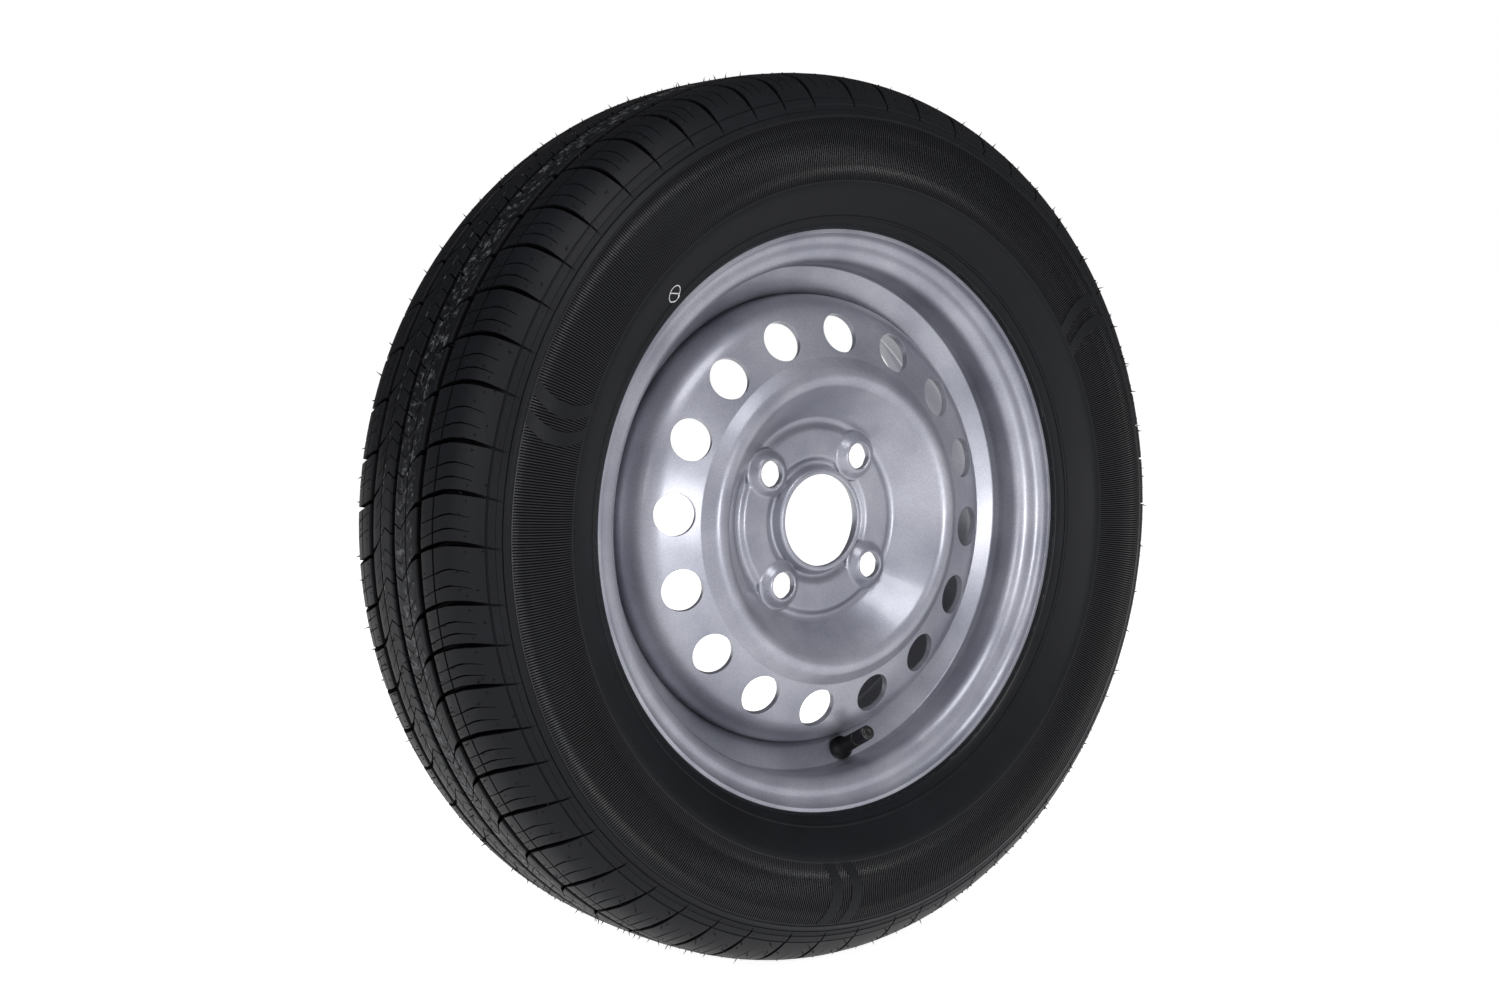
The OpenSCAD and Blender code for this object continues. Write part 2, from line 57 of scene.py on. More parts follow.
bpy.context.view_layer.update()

Corner = tuple[float, float, float]
Ripple = Callable[[np.ndarray, np.ndarray, np.ndarray], np.ndarray]


class Slot(Enum):
    """The record's finishes."""

    TYRE = "tyre_rubber"
    PAINT = "silver_paint"
    VALVE_RUBBER = "valve_rubber"
    BRASS = "valve_brass"
    SEAL = "core_seal"
    STEEL = "pin_steel"
    CAP = "cap_plastic"


# Colour and node helpers


def linear(code: str) -> tuple[float, float, float, float]:
    """Turn an sRGB hex colour to linear light, by the standard curve.

    Args:
        code: six hex digits after a hash sign.

    Returns:
        Red, green, blue and alpha.
    """
    parts = np.array([int(code[i:i + 2], 16) for i in (1, 3, 5)]) / 255.0
    curve = np.where(parts <= 0.04045, parts / 12.92, ((parts + 0.055) / 1.055) ** 2.4)
    return (*curve.tolist(), 1.0)


def new_material(name: str) -> bpy.types.Material:
    """Make a material with nodes.

    Args:
        name: the finish's plain name.

    Returns:
        The material, with its shader named Surface.
    """
    material = bpy.data.materials.new(name)
    material.use_nodes = True
    shader = next(n for n in material.node_tree.nodes if n.type == "BSDF_PRINCIPLED")
    shader.name = "Surface"
    return material


def feed(owner: bpy.types.Material | bpy.types.World, node: bpy.types.Node, inputs: dict | Sequence) -> None:
    """Link or set a node's inputs.

    Args:
        owner: the material or world that holds the node.
        node: the node.
        inputs: an output socket or a plain value for each input, by name or number, or as a list in order.
    """
    for key, value in inputs.items() if isinstance(inputs, dict) else enumerate(inputs):
        if isinstance(value, bpy.types.NodeSocket):
            owner.node_tree.links.new(value, node.inputs[key])
        else:
            node.inputs[key].default_value = value


def add_node(owner: bpy.types.Material | bpy.types.World, kind: str, inputs: dict | Sequence = (),
             stops: Sequence[tuple[float, str]] = (), **settings: object) -> bpy.types.Node:
    """Add one node.

    Args:
        owner: the material or world that gets the node.
        kind: the node's type name, without its ShaderNode prefix.
        inputs: an output socket or a plain value for each input, by name or number, or as a list in order.
        stops: a colour ramp's places from 0 to 1, with their hex colours.
        settings: the node's own settings.

    Returns:
        The new node.
    """
    node = owner.node_tree.nodes.new("ShaderNode" + kind)
    for key, value in settings.items():
        setattr(node, key, value)
    for n, (place, code) in enumerate(stops):
        elements = node.color_ramp.elements
        element = elements[n] if n < len(elements) else elements.new(place)
        element.position = place
        element.color = linear(code)
    feed(owner, node, inputs)
    return node


def set_shader(material: bpy.types.Material, inputs: dict) -> None:
    """Link or set the sockets of a material's surface shader."""
    feed(material, material.node_tree.nodes["Surface"], inputs)


# Mesh helpers


def around(count: int) -> np.ndarray:
    """Give evenly spaced angles over one turn, in radians."""
    return np.arange(count) * TURN / count


def grid_quads(rows: int, cols: int, first: int = 0, wrap: bool = True, close: bool = False) -> np.ndarray:
    """Faces of a grid: each quad joins two neighbours in a row to the two in the next row.

    Args:
        rows: number of rows.
        cols: number of columns.
        first: number of the grid's first vertex.
        wrap: whether the last column meets the first.
        close: whether the last row meets the first.

    Returns:
        Quads as an array of four vertex numbers.
    """
    i, j = np.meshgrid(np.arange(rows if close else rows - 1), np.arange(cols if wrap else cols - 1),
                       indexing="ij")
    down, k = (i + 1) % rows, (j + 1) % cols
    quads = np.stack([i * cols + j, i * cols + k, down * cols + k, down * cols + j], -1)
    return quads.reshape(-1, 4) + first


def fan(first: int, sides: int, tip: int, flip: bool = False) -> np.ndarray:
    """Triangles that join each edge of a ring to one point.

    Args:
        first: number of the ring's first vertex.
        sides: number of the ring's vertices.
        tip: number of the point.
        flip: whether the triangles run the other way round.

    Returns:
        Triangles as an array of three vertex numbers.
    """
    j = first + np.arange(sides)
    k = np.roll(j, -1)
    return np.stack([k if flip else j, j if flip else k, np.full(sides, tip)], -1)


def zip_rings(a: np.ndarray, b: np.ndarray) -> np.ndarray:
    """Triangles between two rings with different vertex angles.

    Each edge of one ring is joined to the vertex of the other ring that lies last before its end.

    Args:
        a: rising angles of the first ring, over one turn.
        b: rising angles of the second ring, over one turn.

    Returns:
        Triangles as an array of three vertex numbers, with the second ring's counted on from the first's.
    """
    n, m = len(a), len(b)
    b_all = np.concatenate([b - TURN, b, b + TURN])
    a_all = np.concatenate([a - TURN, a, a + TURN])
    b_at = (np.searchsorted(b_all, np.append(a[1:], a[0] + TURN), side="right") - 1) % m
    a_at = (np.searchsorted(a_all, np.append(b[1:], b[0] + TURN), side="left") - 1) % n
    i, j = np.arange(n), np.arange(m)
    first = np.stack([i, (i + 1) % n, n + b_at], -1)
    second = np.stack([n + (j + 1) % m, n + j, a_at], -1)
    return np.concatenate([first, second])


def shade(piece: bpy.types.Object, sharp_deg: float) -> None:
    """Smooth a mesh, apart from edges that bend more than the angle given, in degrees."""
    piece.data.shade_smooth()
    piece.data.set_sharp_from_angle(angle=math.radians(sharp_deg))


def make_object(name: str, points: np.ndarray, quads: np.ndarray, tris: np.ndarray | None = None,
                sharp_deg: float = 35.0, values: dict[str, np.ndarray] | None = None,
                merge: bool = False) -> bpy.types.Object:
    """Put arrays of points and faces into a new object, with its faces turned outwards.

    Args:
        name: the piece's name.
        points: vertices in millimetres.
        quads: faces of four vertices.
        tris: faces of three vertices.
        sharp_deg: edges that bend more than this are drawn sharp.
        values: one number a vertex for each named attribute.
        merge: whether points in one place, such as those at a pole, are joined.

    Returns:
        The object.
    """
    tris = np.zeros((0, 3), int) if tris is None else tris
    mesh = bpy.data.meshes.new(name)
    loops = np.concatenate([quads.ravel(), tris.ravel()]).astype(np.int32)
    sizes = np.concatenate([np.full(len(quads), 4), np.full(len(tris), 3)])
    starts = np.concatenate([[0], np.cumsum(sizes)[:-1]]).astype(np.int32)
    mesh.vertices.add(len(points))
    mesh.vertices.foreach_set("co", (np.asarray(points, float) * MM).ravel())
    mesh.loops.add(len(loops))
    mesh.loops.foreach_set("vertex_index", loops)
    mesh.polygons.add(len(sizes))
    mesh.polygons.foreach_set("loop_start", starts)
    for key, column in (values or {}).items():
        mesh.attributes.new(key, "FLOAT", "POINT").data.foreach_set("value", np.asarray(column, np.float32))
    mesh.update(calc_edges=True)
    mesh.validate()
    piece = bpy.data.objects.new(name, mesh)
    bpy.context.scene.collection.objects.link(piece)
    work = bmesh.new()
    work.from_mesh(mesh)
    if merge:
        bmesh.ops.remove_doubles(work, verts=work.verts, dist=MM * MM)
    bmesh.ops.recalc_face_normals(work, faces=work.faces)
    work.to_mesh(mesh)
    work.free()
    shade(piece, sharp_deg)
    return piece


def cut(piece: bpy.types.Object, cutter: bpy.types.Object, sharp_deg: float = 30.0) -> None:
    """Cut one mesh with another, and drop the cutter.

    Args:
        piece: what is cut.
        cutter: what it is cut with.
        sharp_deg: the shading angle afterwards.
    """
    modifier = piece.modifiers.new("cut", "BOOLEAN")
    modifier.operation = "DIFFERENCE"
    modifier.solver = "EXACT"
    modifier.object = cutter
    graph = bpy.context.evaluated_depsgraph_get()
    mesh = bpy.data.meshes.new_from_object(piece.evaluated_get(graph))
    piece.modifiers.clear()
    piece.data = mesh
    bpy.data.objects.remove(cutter)
    shade(piece, sharp_deg)


def rounded(corners: Sequence[Corner], step_deg: float = 3.0) -> np.ndarray:
    """Points of a path whose corners are rounded by arcs.

    An arc of radius r at a corner that turns by t starts r tan(t/2) before the corner.

    Args:
        corners: x, y and radius of each corner.
        step_deg: turn between two points of an arc.

    Returns:
        The path's points.
    """
    path = np.array([c[:2] for c in corners], float)
    out = [path[0][None]]
    for k in range(1, len(path) - 1):
        a = path[k] - path[k - 1]
        b = path[k + 1] - path[k]
        a, b = a / np.linalg.norm(a), b / np.linalg.norm(b)
        turn = math.atan2(a[0] * b[1] - a[1] * b[0], a @ b)
        radius = corners[k][2]
        if radius <= 0 or abs(turn) < 1e-4:
            out.append(path[k][None])
            continue
        side = np.array([-a[1], a[0]]) * math.copysign(1, turn)
        start = path[k] - a * radius * math.tan(abs(turn) / 2)
        w = np.linspace(0, turn, max(2, math.ceil(abs(math.degrees(turn)) / step_deg) + 1))
        arm = -side * radius
        spin = np.stack([arm[0] * np.cos(w) - arm[1] * np.sin(w), arm[0] * np.sin(w) + arm[1] * np.cos(w)],
                        -1)
        out.append(start + side * radius + spin)
    out.append(path[-1][None])
    return np.concatenate(out)


def shifted(corners: Sequence[Corner], distance: float) -> list[Corner]:
    """Move a path of corners sideways to its left, with its radii changed to match.

    Args:
        corners: x, y and radius of each corner.
        distance: how far it moves.

    Returns:
        The moved corners.
    """
    path = np.array([c[:2] for c in corners], float)
    step = np.diff(path, axis=0)
    step /= np.linalg.norm(step, axis=1)[:, None]
    before = np.vstack([step[:1], step])
    after = np.vstack([step, step[-1:]])
    turn = np.arctan2(before[:, 0] * after[:, 1] - before[:, 1] * after[:, 0], (before * after).sum(1))
    middle = before + after
    middle /= np.linalg.norm(middle, axis=1)[:, None]
    moved = path + np.stack([-middle[:, 1], middle[:, 0]], -1) * (distance / np.cos(turn / 2))[:, None]
    return [
        (float(p[0]), float(p[1]), 0.0 if c[2] == 0 else max(0.0, c[2] - distance * math.copysign(1, t)))
        for p, c, t in zip(moved, corners, turn)
    ]


def dense(path: np.ndarray, step: float) -> np.ndarray:
    """Add points to a path where it has stretches longer than a step.

    Args:
        path: the points.
        step: longest stretch between two points.

    Returns:
        The denser path.
    """
    out = [path[:1]]
    for a, b in zip(path[:-1], path[1:]):
        count = max(1, math.ceil(float(np.linalg.norm(b - a)) / step))
        out.append(a + (b - a) * (np.arange(1, count + 1) / count)[:, None])
    return np.concatenate(out)


def bezier(p: np.ndarray, leave: tuple[float, float], q: np.ndarray, arrive: tuple[float, float],
           steps: int = 60) -> np.ndarray:
    """Cubic curve from p to q, with angles measured from the axial direction towards the axle.

    It is p s^3 + 3 h s^2 t + 3 g s t^2 + q t^3 with s = 1 - t, where h and g lie along the two angles.

    Args:
        p: start, as radius and axial place.
        leave: angle in degrees and length of the handle at the start.
        q: end.
        arrive: angle in degrees and length of the handle at the end.
        steps: number of points.

    Returns:
        Points after p, as radius and axial place.
    """
    def heading(deg: float) -> np.ndarray:
        """Give the unit vector of an angle."""
        return np.array([-math.sin(math.radians(deg)), math.cos(math.radians(deg))])

    t = (np.arange(1, steps + 1) / steps)[:, None]
    h, g = p + heading(leave[0]) * leave[1], q - heading(arrive[0]) * arrive[1]
    s = 1 - t
    return p * s ** 3 + h * 3 * s * s * t + g * 3 * s * t * t + q * t ** 3


@dataclass(frozen=True)
class Axle:
    """The wheel's own frame: radius, clock angle seen from outboard, and axial place from the hub face."""

    rim_offset: float = 30.0

    def point(self, radius: float | np.ndarray, angle: float | np.ndarray,
              axial: float | np.ndarray) -> np.ndarray:
        """Place points: x = R cos a, y = axial - offset, z = R sin a."""
        radius, angle, axial = np.broadcast_arrays(radius, angle, axial)
        return np.stack([radius * np.cos(angle), axial - self.rim_offset, radius * np.sin(angle)], -1)

    def arms(self, clock: float) -> tuple[np.ndarray, np.ndarray]:
        """Give the unit vectors away from the axle and along the turn, at a clock angle in radians."""
        out = np.array([math.cos(clock), 0, math.sin(clock)])
        return out, np.array([-math.sin(clock), 0, math.cos(clock)])


# Finishes


@dataclass(frozen=True)
class SilverPaint:
    """Silver metallic wheel paint, sprayed and clear-coated: a fine sparkle under a smooth gloss."""

    bright: str = "#a5a6af"
    deep: str = "#8b8c97"
    clouds: tuple[str, str] = ("#c9cad0", "#ffffff")
    flake_mm: float = 0.45
    cloud_mm: float = 60.0
    peel_mm: float = 4.0
    edge_mm: float = 0.5

    def build(self) -> bpy.types.Material:
        """Make the material: flakes vary the colour and tilt, and a long low ripple is the spray's orange peel.

        Returns:
            The material.
        """
        # A real flake is some 0.05 mm wide. It is drawn coarser, so that the sparkle shows from here.
        # The base is half metal, for the flakes, under a clear coat that gives the smooth highlights.
        m = new_material("silver_metallic_wheel_paint")
        place = add_node(m, "TexCoord").outputs["Object"]
        flake = add_node(m, "TexVoronoi", {"Vector": place, "Scale": 1.0 / (self.flake_mm * MM)})
        cloud = add_node(m, "TexNoise", {"Vector": place, "Scale": 1.0 / (self.cloud_mm * MM), "Detail": 3.0})
        speck = add_node(m, "ValToRGB", [flake.outputs["Color"]], [(0.0, self.deep), (1.0, self.bright)])
        tone = add_node(m, "ValToRGB", [cloud.outputs["Fac"]], [(0.35, self.clouds[0]), (0.7, self.clouds[1])])
        colour = add_node(m, "Mix", {0: 1.0, 6: speck.outputs["Color"], 7: tone.outputs["Color"]},
                          data_type="RGBA", blend_type="MULTIPLY")
        peel = add_node(m, "TexNoise", {"Vector": place, "Scale": 1.0 / (self.peel_mm * MM), "Detail": 1.0})
        edge = add_node(m, "Bevel", {"Radius": self.edge_mm * MM}, samples=4)
        ripple = add_node(m, "Bump", {"Height": peel.outputs["Fac"], "Normal": edge.outputs["Normal"],
                                      "Strength": 0.06, "Distance": 0.2 * MM})
        sparkle = add_node(m, "Bump", {"Height": flake.outputs["Distance"], "Normal": ripple.outputs["Normal"],
                                       "Strength": 0.10, "Distance": 0.05 * MM})
        set_shader(m, {"Base Color": colour.outputs[2], "Normal": sparkle.outputs["Normal"],
                       "Coat Normal": ripple.outputs["Normal"], "Metallic": 0.55, "Roughness": 0.42,
                       "Coat Weight": 0.5, "Coat Roughness": 0.16})
        return m


@dataclass(frozen=True)
class Scuff:
    """A worn stripe round the tread: where it lies across the tyre, its soft edges, strength and colour."""

    low_mm: float
    high_mm: float
    soft_mm: float
    strength: float
    colour: str


@dataclass(frozen=True)
class TyreRubber:
    """Moulded black tyre rubber, used on the road: matt, a little dusty on the tread, with pale scuffs."""

    blacks: tuple[str, str] = ("#0c0d10", "#121317")
    # The groove colour is painted shade, mixed into deep places.
    groove: str = "#060607"
    ink: str = "#dcdcde"
    scuffs: tuple[Scuff, ...] = (
        Scuff(-23.0, -3.0, 1.5, 0.42, "#85868a"),
        Scuff(12.8, 15.2, 0.4, 0.3, "#9fa0a2"),
    )
    cloud_mm: float = 45.0
    wear_mm: float = 5.0
    grit_mm: float = 1.2
    ridged_mm: tuple[float, float] = (90.8, 131.0)
    ridged_soft_mm: float = 0.4
    shade_mm: tuple[float, float] = (0.2, 2.2)
    shade_most: float = 0.95
    worn_depth_mm: float = 0.3
    mark_clock: float = 134.0
    mark_r: float = 194.0
    mark_y: float = -71.0
    mark_size: float = 5.6
    mark_line: float = 0.8
    mark_soft: float = 0.2

    def build(self) -> bpy.types.Material:
        """Make the material: the depth attribute paints shade into the grooves and the ridges' valleys, the
        across one places the worn stripes.

        Returns:
            The material.
        """
        # Cured rubber with carbon black: nearly black, and matt with dust. The fine ridges of the sidewall
        # are cleaner, so their crests keep a low gloss. Deep places, the grooves and the ridges' valleys, get
        # painted shade: their colour is darkened and their gloss is lowered with depth.
        m = new_material("moulded_tyre_rubber")
        place = add_node(m, "TexCoord").outputs["Object"]
        across = add_node(m, "Attribute", attribute_name="across_mm").outputs["Fac"]
        depth = add_node(m, "Attribute", attribute_name="shade_depth_mm").outputs["Fac"]
        cloud = add_node(m, "TexNoise", {"Vector": place, "Scale": 1.0 / (self.cloud_mm * MM), "Detail": 5.0,
                                         "Roughness": 0.6}).outputs["Fac"]
        base = add_node(m, "ValToRGB", [cloud], [(0.3, self.blacks[0]), (0.75, self.blacks[1])])
        grit = add_node(m, "TexNoise", {"Vector": place, "Scale": 1.0 / (self.grit_mm * MM), "Detail": 3.0})
        # Painted shade: the deeper a place, the more of the groove colour it gets.
        deep = add_node(m, "MapRange", [depth, *self.shade_mm, 0.0, self.shade_most]).outputs[0]
        colour = add_node(m, "Mix", {0: deep, 6: base.outputs["Color"], 7: linear(self.groove)},
                          data_type="RGBA").outputs[2]
        flat = add_node(m, "MapRange", [depth, 0.0, self.worn_depth_mm, 1.0, 0.0]).outputs[0]
        patch = add_node(m, "TexNoise", {"Vector": place, "Scale": 1.0 / (self.wear_mm * MM), "Detail": 6.0,
                                         "Roughness": 0.75})
        worn = add_node(m, "ValToRGB", [patch.outputs["Fac"]], [(0.53, "#000000"), (0.63, "#ffffff")])
        for scuff in self.scuffs:
            share = self.band(m, across, scuff.low_mm, scuff.high_mm, scuff.soft_mm)
            for factor in (worn.outputs["Color"], flat):
                share = add_node(m, "Math", [share, factor], operation="MULTIPLY").outputs[0]
            share = add_node(m, "MapRange", [share, 0.0, 1.0, 0.0, scuff.strength]).outputs[0]
            colour = add_node(m, "Mix", {0: share, 6: colour, 7: linear(scuff.colour)},
                              data_type="RGBA").outputs[2]
        marked = add_node(m, "Mix", {0: self.mark(m, place), 6: colour, 7: linear(self.ink)}, data_type="RGBA")
        bump = add_node(m, "Bump", {"Height": grit.outputs["Fac"], "Strength": 0.25, "Distance": 0.12 * MM})
        far = add_node(m, "Math", [across], operation="ABSOLUTE").outputs[0]
        ridged = self.band(m, far, *self.ridged_mm, self.ridged_soft_mm)
        dusty = add_node(m, "MapRange", [cloud, 0.0, 1.0, 0.40, 0.56]).outputs[0]
        rough = add_node(m, "Mix", {0: ridged, 2: dusty, 3: 0.36}, data_type="FLOAT")
        plain = add_node(m, "MapRange", [deep, 0.0, self.shade_most, 0.12, 0.02]).outputs[0]
        crest = add_node(m, "MapRange", [deep, 0.0, 0.7, 0.3, 0.0]).outputs[0]
        gloss = add_node(m, "Mix", {0: ridged, 2: plain, 3: crest}, data_type="FLOAT")
        set_shader(m, {"Base Color": marked.outputs[2], "Normal": bump.outputs["Normal"],
                       "Roughness": rough.outputs[0], "Specular IOR Level": gloss.outputs[0]})
        return m

    def mark(self, m: bpy.types.Material, place: bpy.types.NodeSocket) -> bpy.types.NodeSocket:
        """Make the mask of the white inspection mark: a thin ring with a bar across it, inked on the sidewall.

        Args:
            m: the material.
            place: the object coordinates' socket.

        Returns:
            The mask's socket.
        """
        clock = math.radians(self.mark_clock)
        size, line, soft = self.mark_size * MM, self.mark_line * MM, self.mark_soft * MM
        middle = (self.mark_r * MM * math.cos(clock), self.mark_y * MM, self.mark_r * MM * math.sin(clock))
        arm = add_node(m, "VectorMath", [place, middle], operation="SUBTRACT").outputs["Vector"]
        far = add_node(m, "VectorMath", [arm], operation="LENGTH").outputs["Value"]
        height = add_node(m, "SeparateXYZ", [arm]).outputs["Z"]
        ring = self.band(m, far, size - line, size, soft)
        bar = self.band(m, height, -line / 2, line / 2, soft)
        near = add_node(m, "MapRange", [far, size - line / 2, size, 1.0, 0.0]).outputs[0]
        inner = add_node(m, "Math", [bar, near], operation="MULTIPLY").outputs[0]
        return add_node(m, "Math", [ring, inner], operation="MAXIMUM").outputs[0]

    @staticmethod
    def band(m: bpy.types.Material, value: bpy.types.NodeSocket, low: float, high: float,
             soft: float) -> bpy.types.NodeSocket:
        """Make a mask that is 1 where a value lies between two limits, and 0 outside them.

        Args:
            m: the material.
            value: the value's socket.
            low: where the band starts.
            high: where it ends.
            soft: width of its soft edges.

        Returns:
            The mask's socket.
        """
        rise = add_node(m, "MapRange", [value, low, low + soft, 0.0, 1.0]).outputs[0]
        fall = add_node(m, "MapRange", [value, high - soft, high, 1.0, 0.0]).outputs[0]
        return add_node(m, "Math", [rise, fall], operation="MULTIPLY").outputs[0]


@dataclass(frozen=True)
class PlainFinish:
    """A small part's finish: one material with a fine moulded or turned grain."""

    name: str
    low: str
    high: str
    grain_mm: float
    metallic: float = 0.0
    roughness: float = 0.5
    relief: float = 0.1
    gloss: float = 0.5

    def build(self) -> bpy.types.Material:
        """Make the material: noise at the grain's size varies the colour and lifts the surface a little.

        Returns:
            The material.
        """
        m = new_material(self.name)
        place = add_node(m, "TexCoord").outputs["Object"]
        grain = add_node(m, "TexNoise", {"Vector": place, "Scale": 1.0 / (self.grain_mm * MM), "Detail": 3.0})
        ramp = add_node(m, "ValToRGB", [grain.outputs["Fac"]], [(0.3, self.low), (0.7, self.high)])
        bump = add_node(m, "Bump", {"Height": grain.outputs["Fac"], "Strength": self.relief,
                                    "Distance": 0.05 * MM})
        set_shader(m, {"Base Color": ramp.outputs["Color"], "Normal": bump.outputs["Normal"],
                       "Metallic": self.metallic, "Roughness": self.roughness,
                       "Specular IOR Level": self.gloss})
        return m


# Black rubber with a satin skin from the mould, a little glossier than the tyre's.
VALVE_RUBBER = PlainFinish("moulded_valve_rubber", "#0b0b0d", "#151517", 1.0, roughness=0.4, gloss=0.3)
# Bare brass from the lathe: warm yellow, with fine bright turning marks.
TURNED_BRASS = PlainFinish("turned_brass", "#b8924c", "#d0ac64", 0.4, 1.0, 0.3)
# Heat-resistant seal rubber, coloured red and satin.
SEAL_RUBBER = PlainFinish("red_seal_rubber", "#7c241c", "#933026", 0.5, roughness=0.5)
# Drawn steel wire: cool grey, smooth and bright.
STEEL_WIRE = PlainFinish("drawn_steel_wire", "#a6a7aa", "#c0c1c4", 0.3, 1.0, 0.3)
# Moulded black plastic: the smoothest of the blacks, so the cap's flutes catch the light.
CAP_PLASTIC = PlainFinish("moulded_cap_plastic", "#0c0c0e", "#161618", 0.8, roughness=0.32, gloss=0.4)


@dataclass
class Finishes:
    """All the finishes, each made once."""

    by_slot: dict[Slot, bpy.types.Material] = field(default_factory=dict)

    def make(self) -> None:
        """Make every slot's material."""
        self.by_slot = {
            Slot.TYRE: TyreRubber().build(),
            Slot.PAINT: SilverPaint().build(),
            Slot.VALVE_RUBBER: VALVE_RUBBER.build(),
            Slot.BRASS: TURNED_BRASS.build(),
            Slot.SEAL: SEAL_RUBBER.build(),
            Slot.STEEL: STEEL_WIRE.build(),
            Slot.CAP: CAP_PLASTIC.build(),
        }

    def paint(self, piece: bpy.types.Object, slot: Slot) -> None:
        """Give a piece the material of a slot."""
        piece.data.materials.clear()
        piece.data.materials.append(self.by_slot[slot])

    def dress(self, piece: bpy.types.Object, slot: Slot, node: str | None = None,
              body: str = "root") -> bpy.types.Object:
        """Give a new piece its material, attach it to its body, and hide the node that it stands for.

        Args:
            piece: the object.
            slot: the finish.
            node: the node that it replaces, if any.
            body: the body that it moves with.

        Returns:
            The object.
        """
        self.paint(piece, slot)
        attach(piece, body)
        if node:
            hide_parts(node)
        return piece


# Tyre


@dataclass
class Band:
    """A grid of the tyre's points: rows across the tyre, columns round it, and two numbers on each point."""

    points: np.ndarray
    across: np.ndarray
    depth: np.ndarray
    angle: np.ndarray
    first: int = 0

    @property
    def top(self) -> tuple[int, np.ndarray]:
        """Number of the first row's first point, and the row's angles."""
        return self.first, self.angle[0]

    @property
    def foot(self) -> tuple[int, np.ndarray]:
        """Number of the last row's first point, and the row's angles."""
        return self.first + self.angle[:-1].size, self.angle[-1]


@dataclass
class Skin:
    """The tyre's skin, gathered band by band."""

    bands: list[Band] = field(default_factory=list)
    quads: list[np.ndarray] = field(default_factory=list)
    tris: list[np.ndarray] = field(default_factory=list)
    count: int = 0

    def add(self, band: Band) -> Band:
        """Add a band and its faces.

        Args:
            band: the grid of points.

        Returns:
            The band, which now knows the number of its first point.
        """
        band.first = self.count
        rows, cols = band.angle.shape
        self.bands.append(band)
        self.quads.append(grid_quads(rows, cols, band.first))
        self.count += rows * cols
        return band

    def seam(self, a: tuple[int, np.ndarray], b: tuple[int, np.ndarray]) -> None:
        """Join two rows with different angles by triangles.

        Args:
            a: first point's number and falling angles of one row.
            b: the same of the other row.
        """
        rings, starts = [], []
        for _, angle in (a, b):
            turn = -angle % TURN
            starts.append(int(np.argmin(turn)))
            rings.append(np.roll(turn, -starts[-1]))
        n, m = len(rings[0]), len(rings[1])
        faces = zip_rings(*rings)
        self.tris.append(np.where(faces < n, a[0] + (faces + starts[0]) % n,
                                  b[0] + (faces - n + starts[1]) % m))

    def join(self, a: int, b: int, cols: int) -> None:
        """Join two rows with the same angles by quads.

        Args:
            a: number of one row's first point.
            b: number of the other row's first point.
            cols: points in each row.
        """
        pair = grid_quads(2, cols)
        self.quads.append(np.where(pair < cols, a + pair, b + pair - cols))

    def column(self, name: str) -> np.ndarray:
        """Give one of the bands' arrays as a single column over all points."""
        return np.concatenate([getattr(band, name).ravel() for band in self.bands])


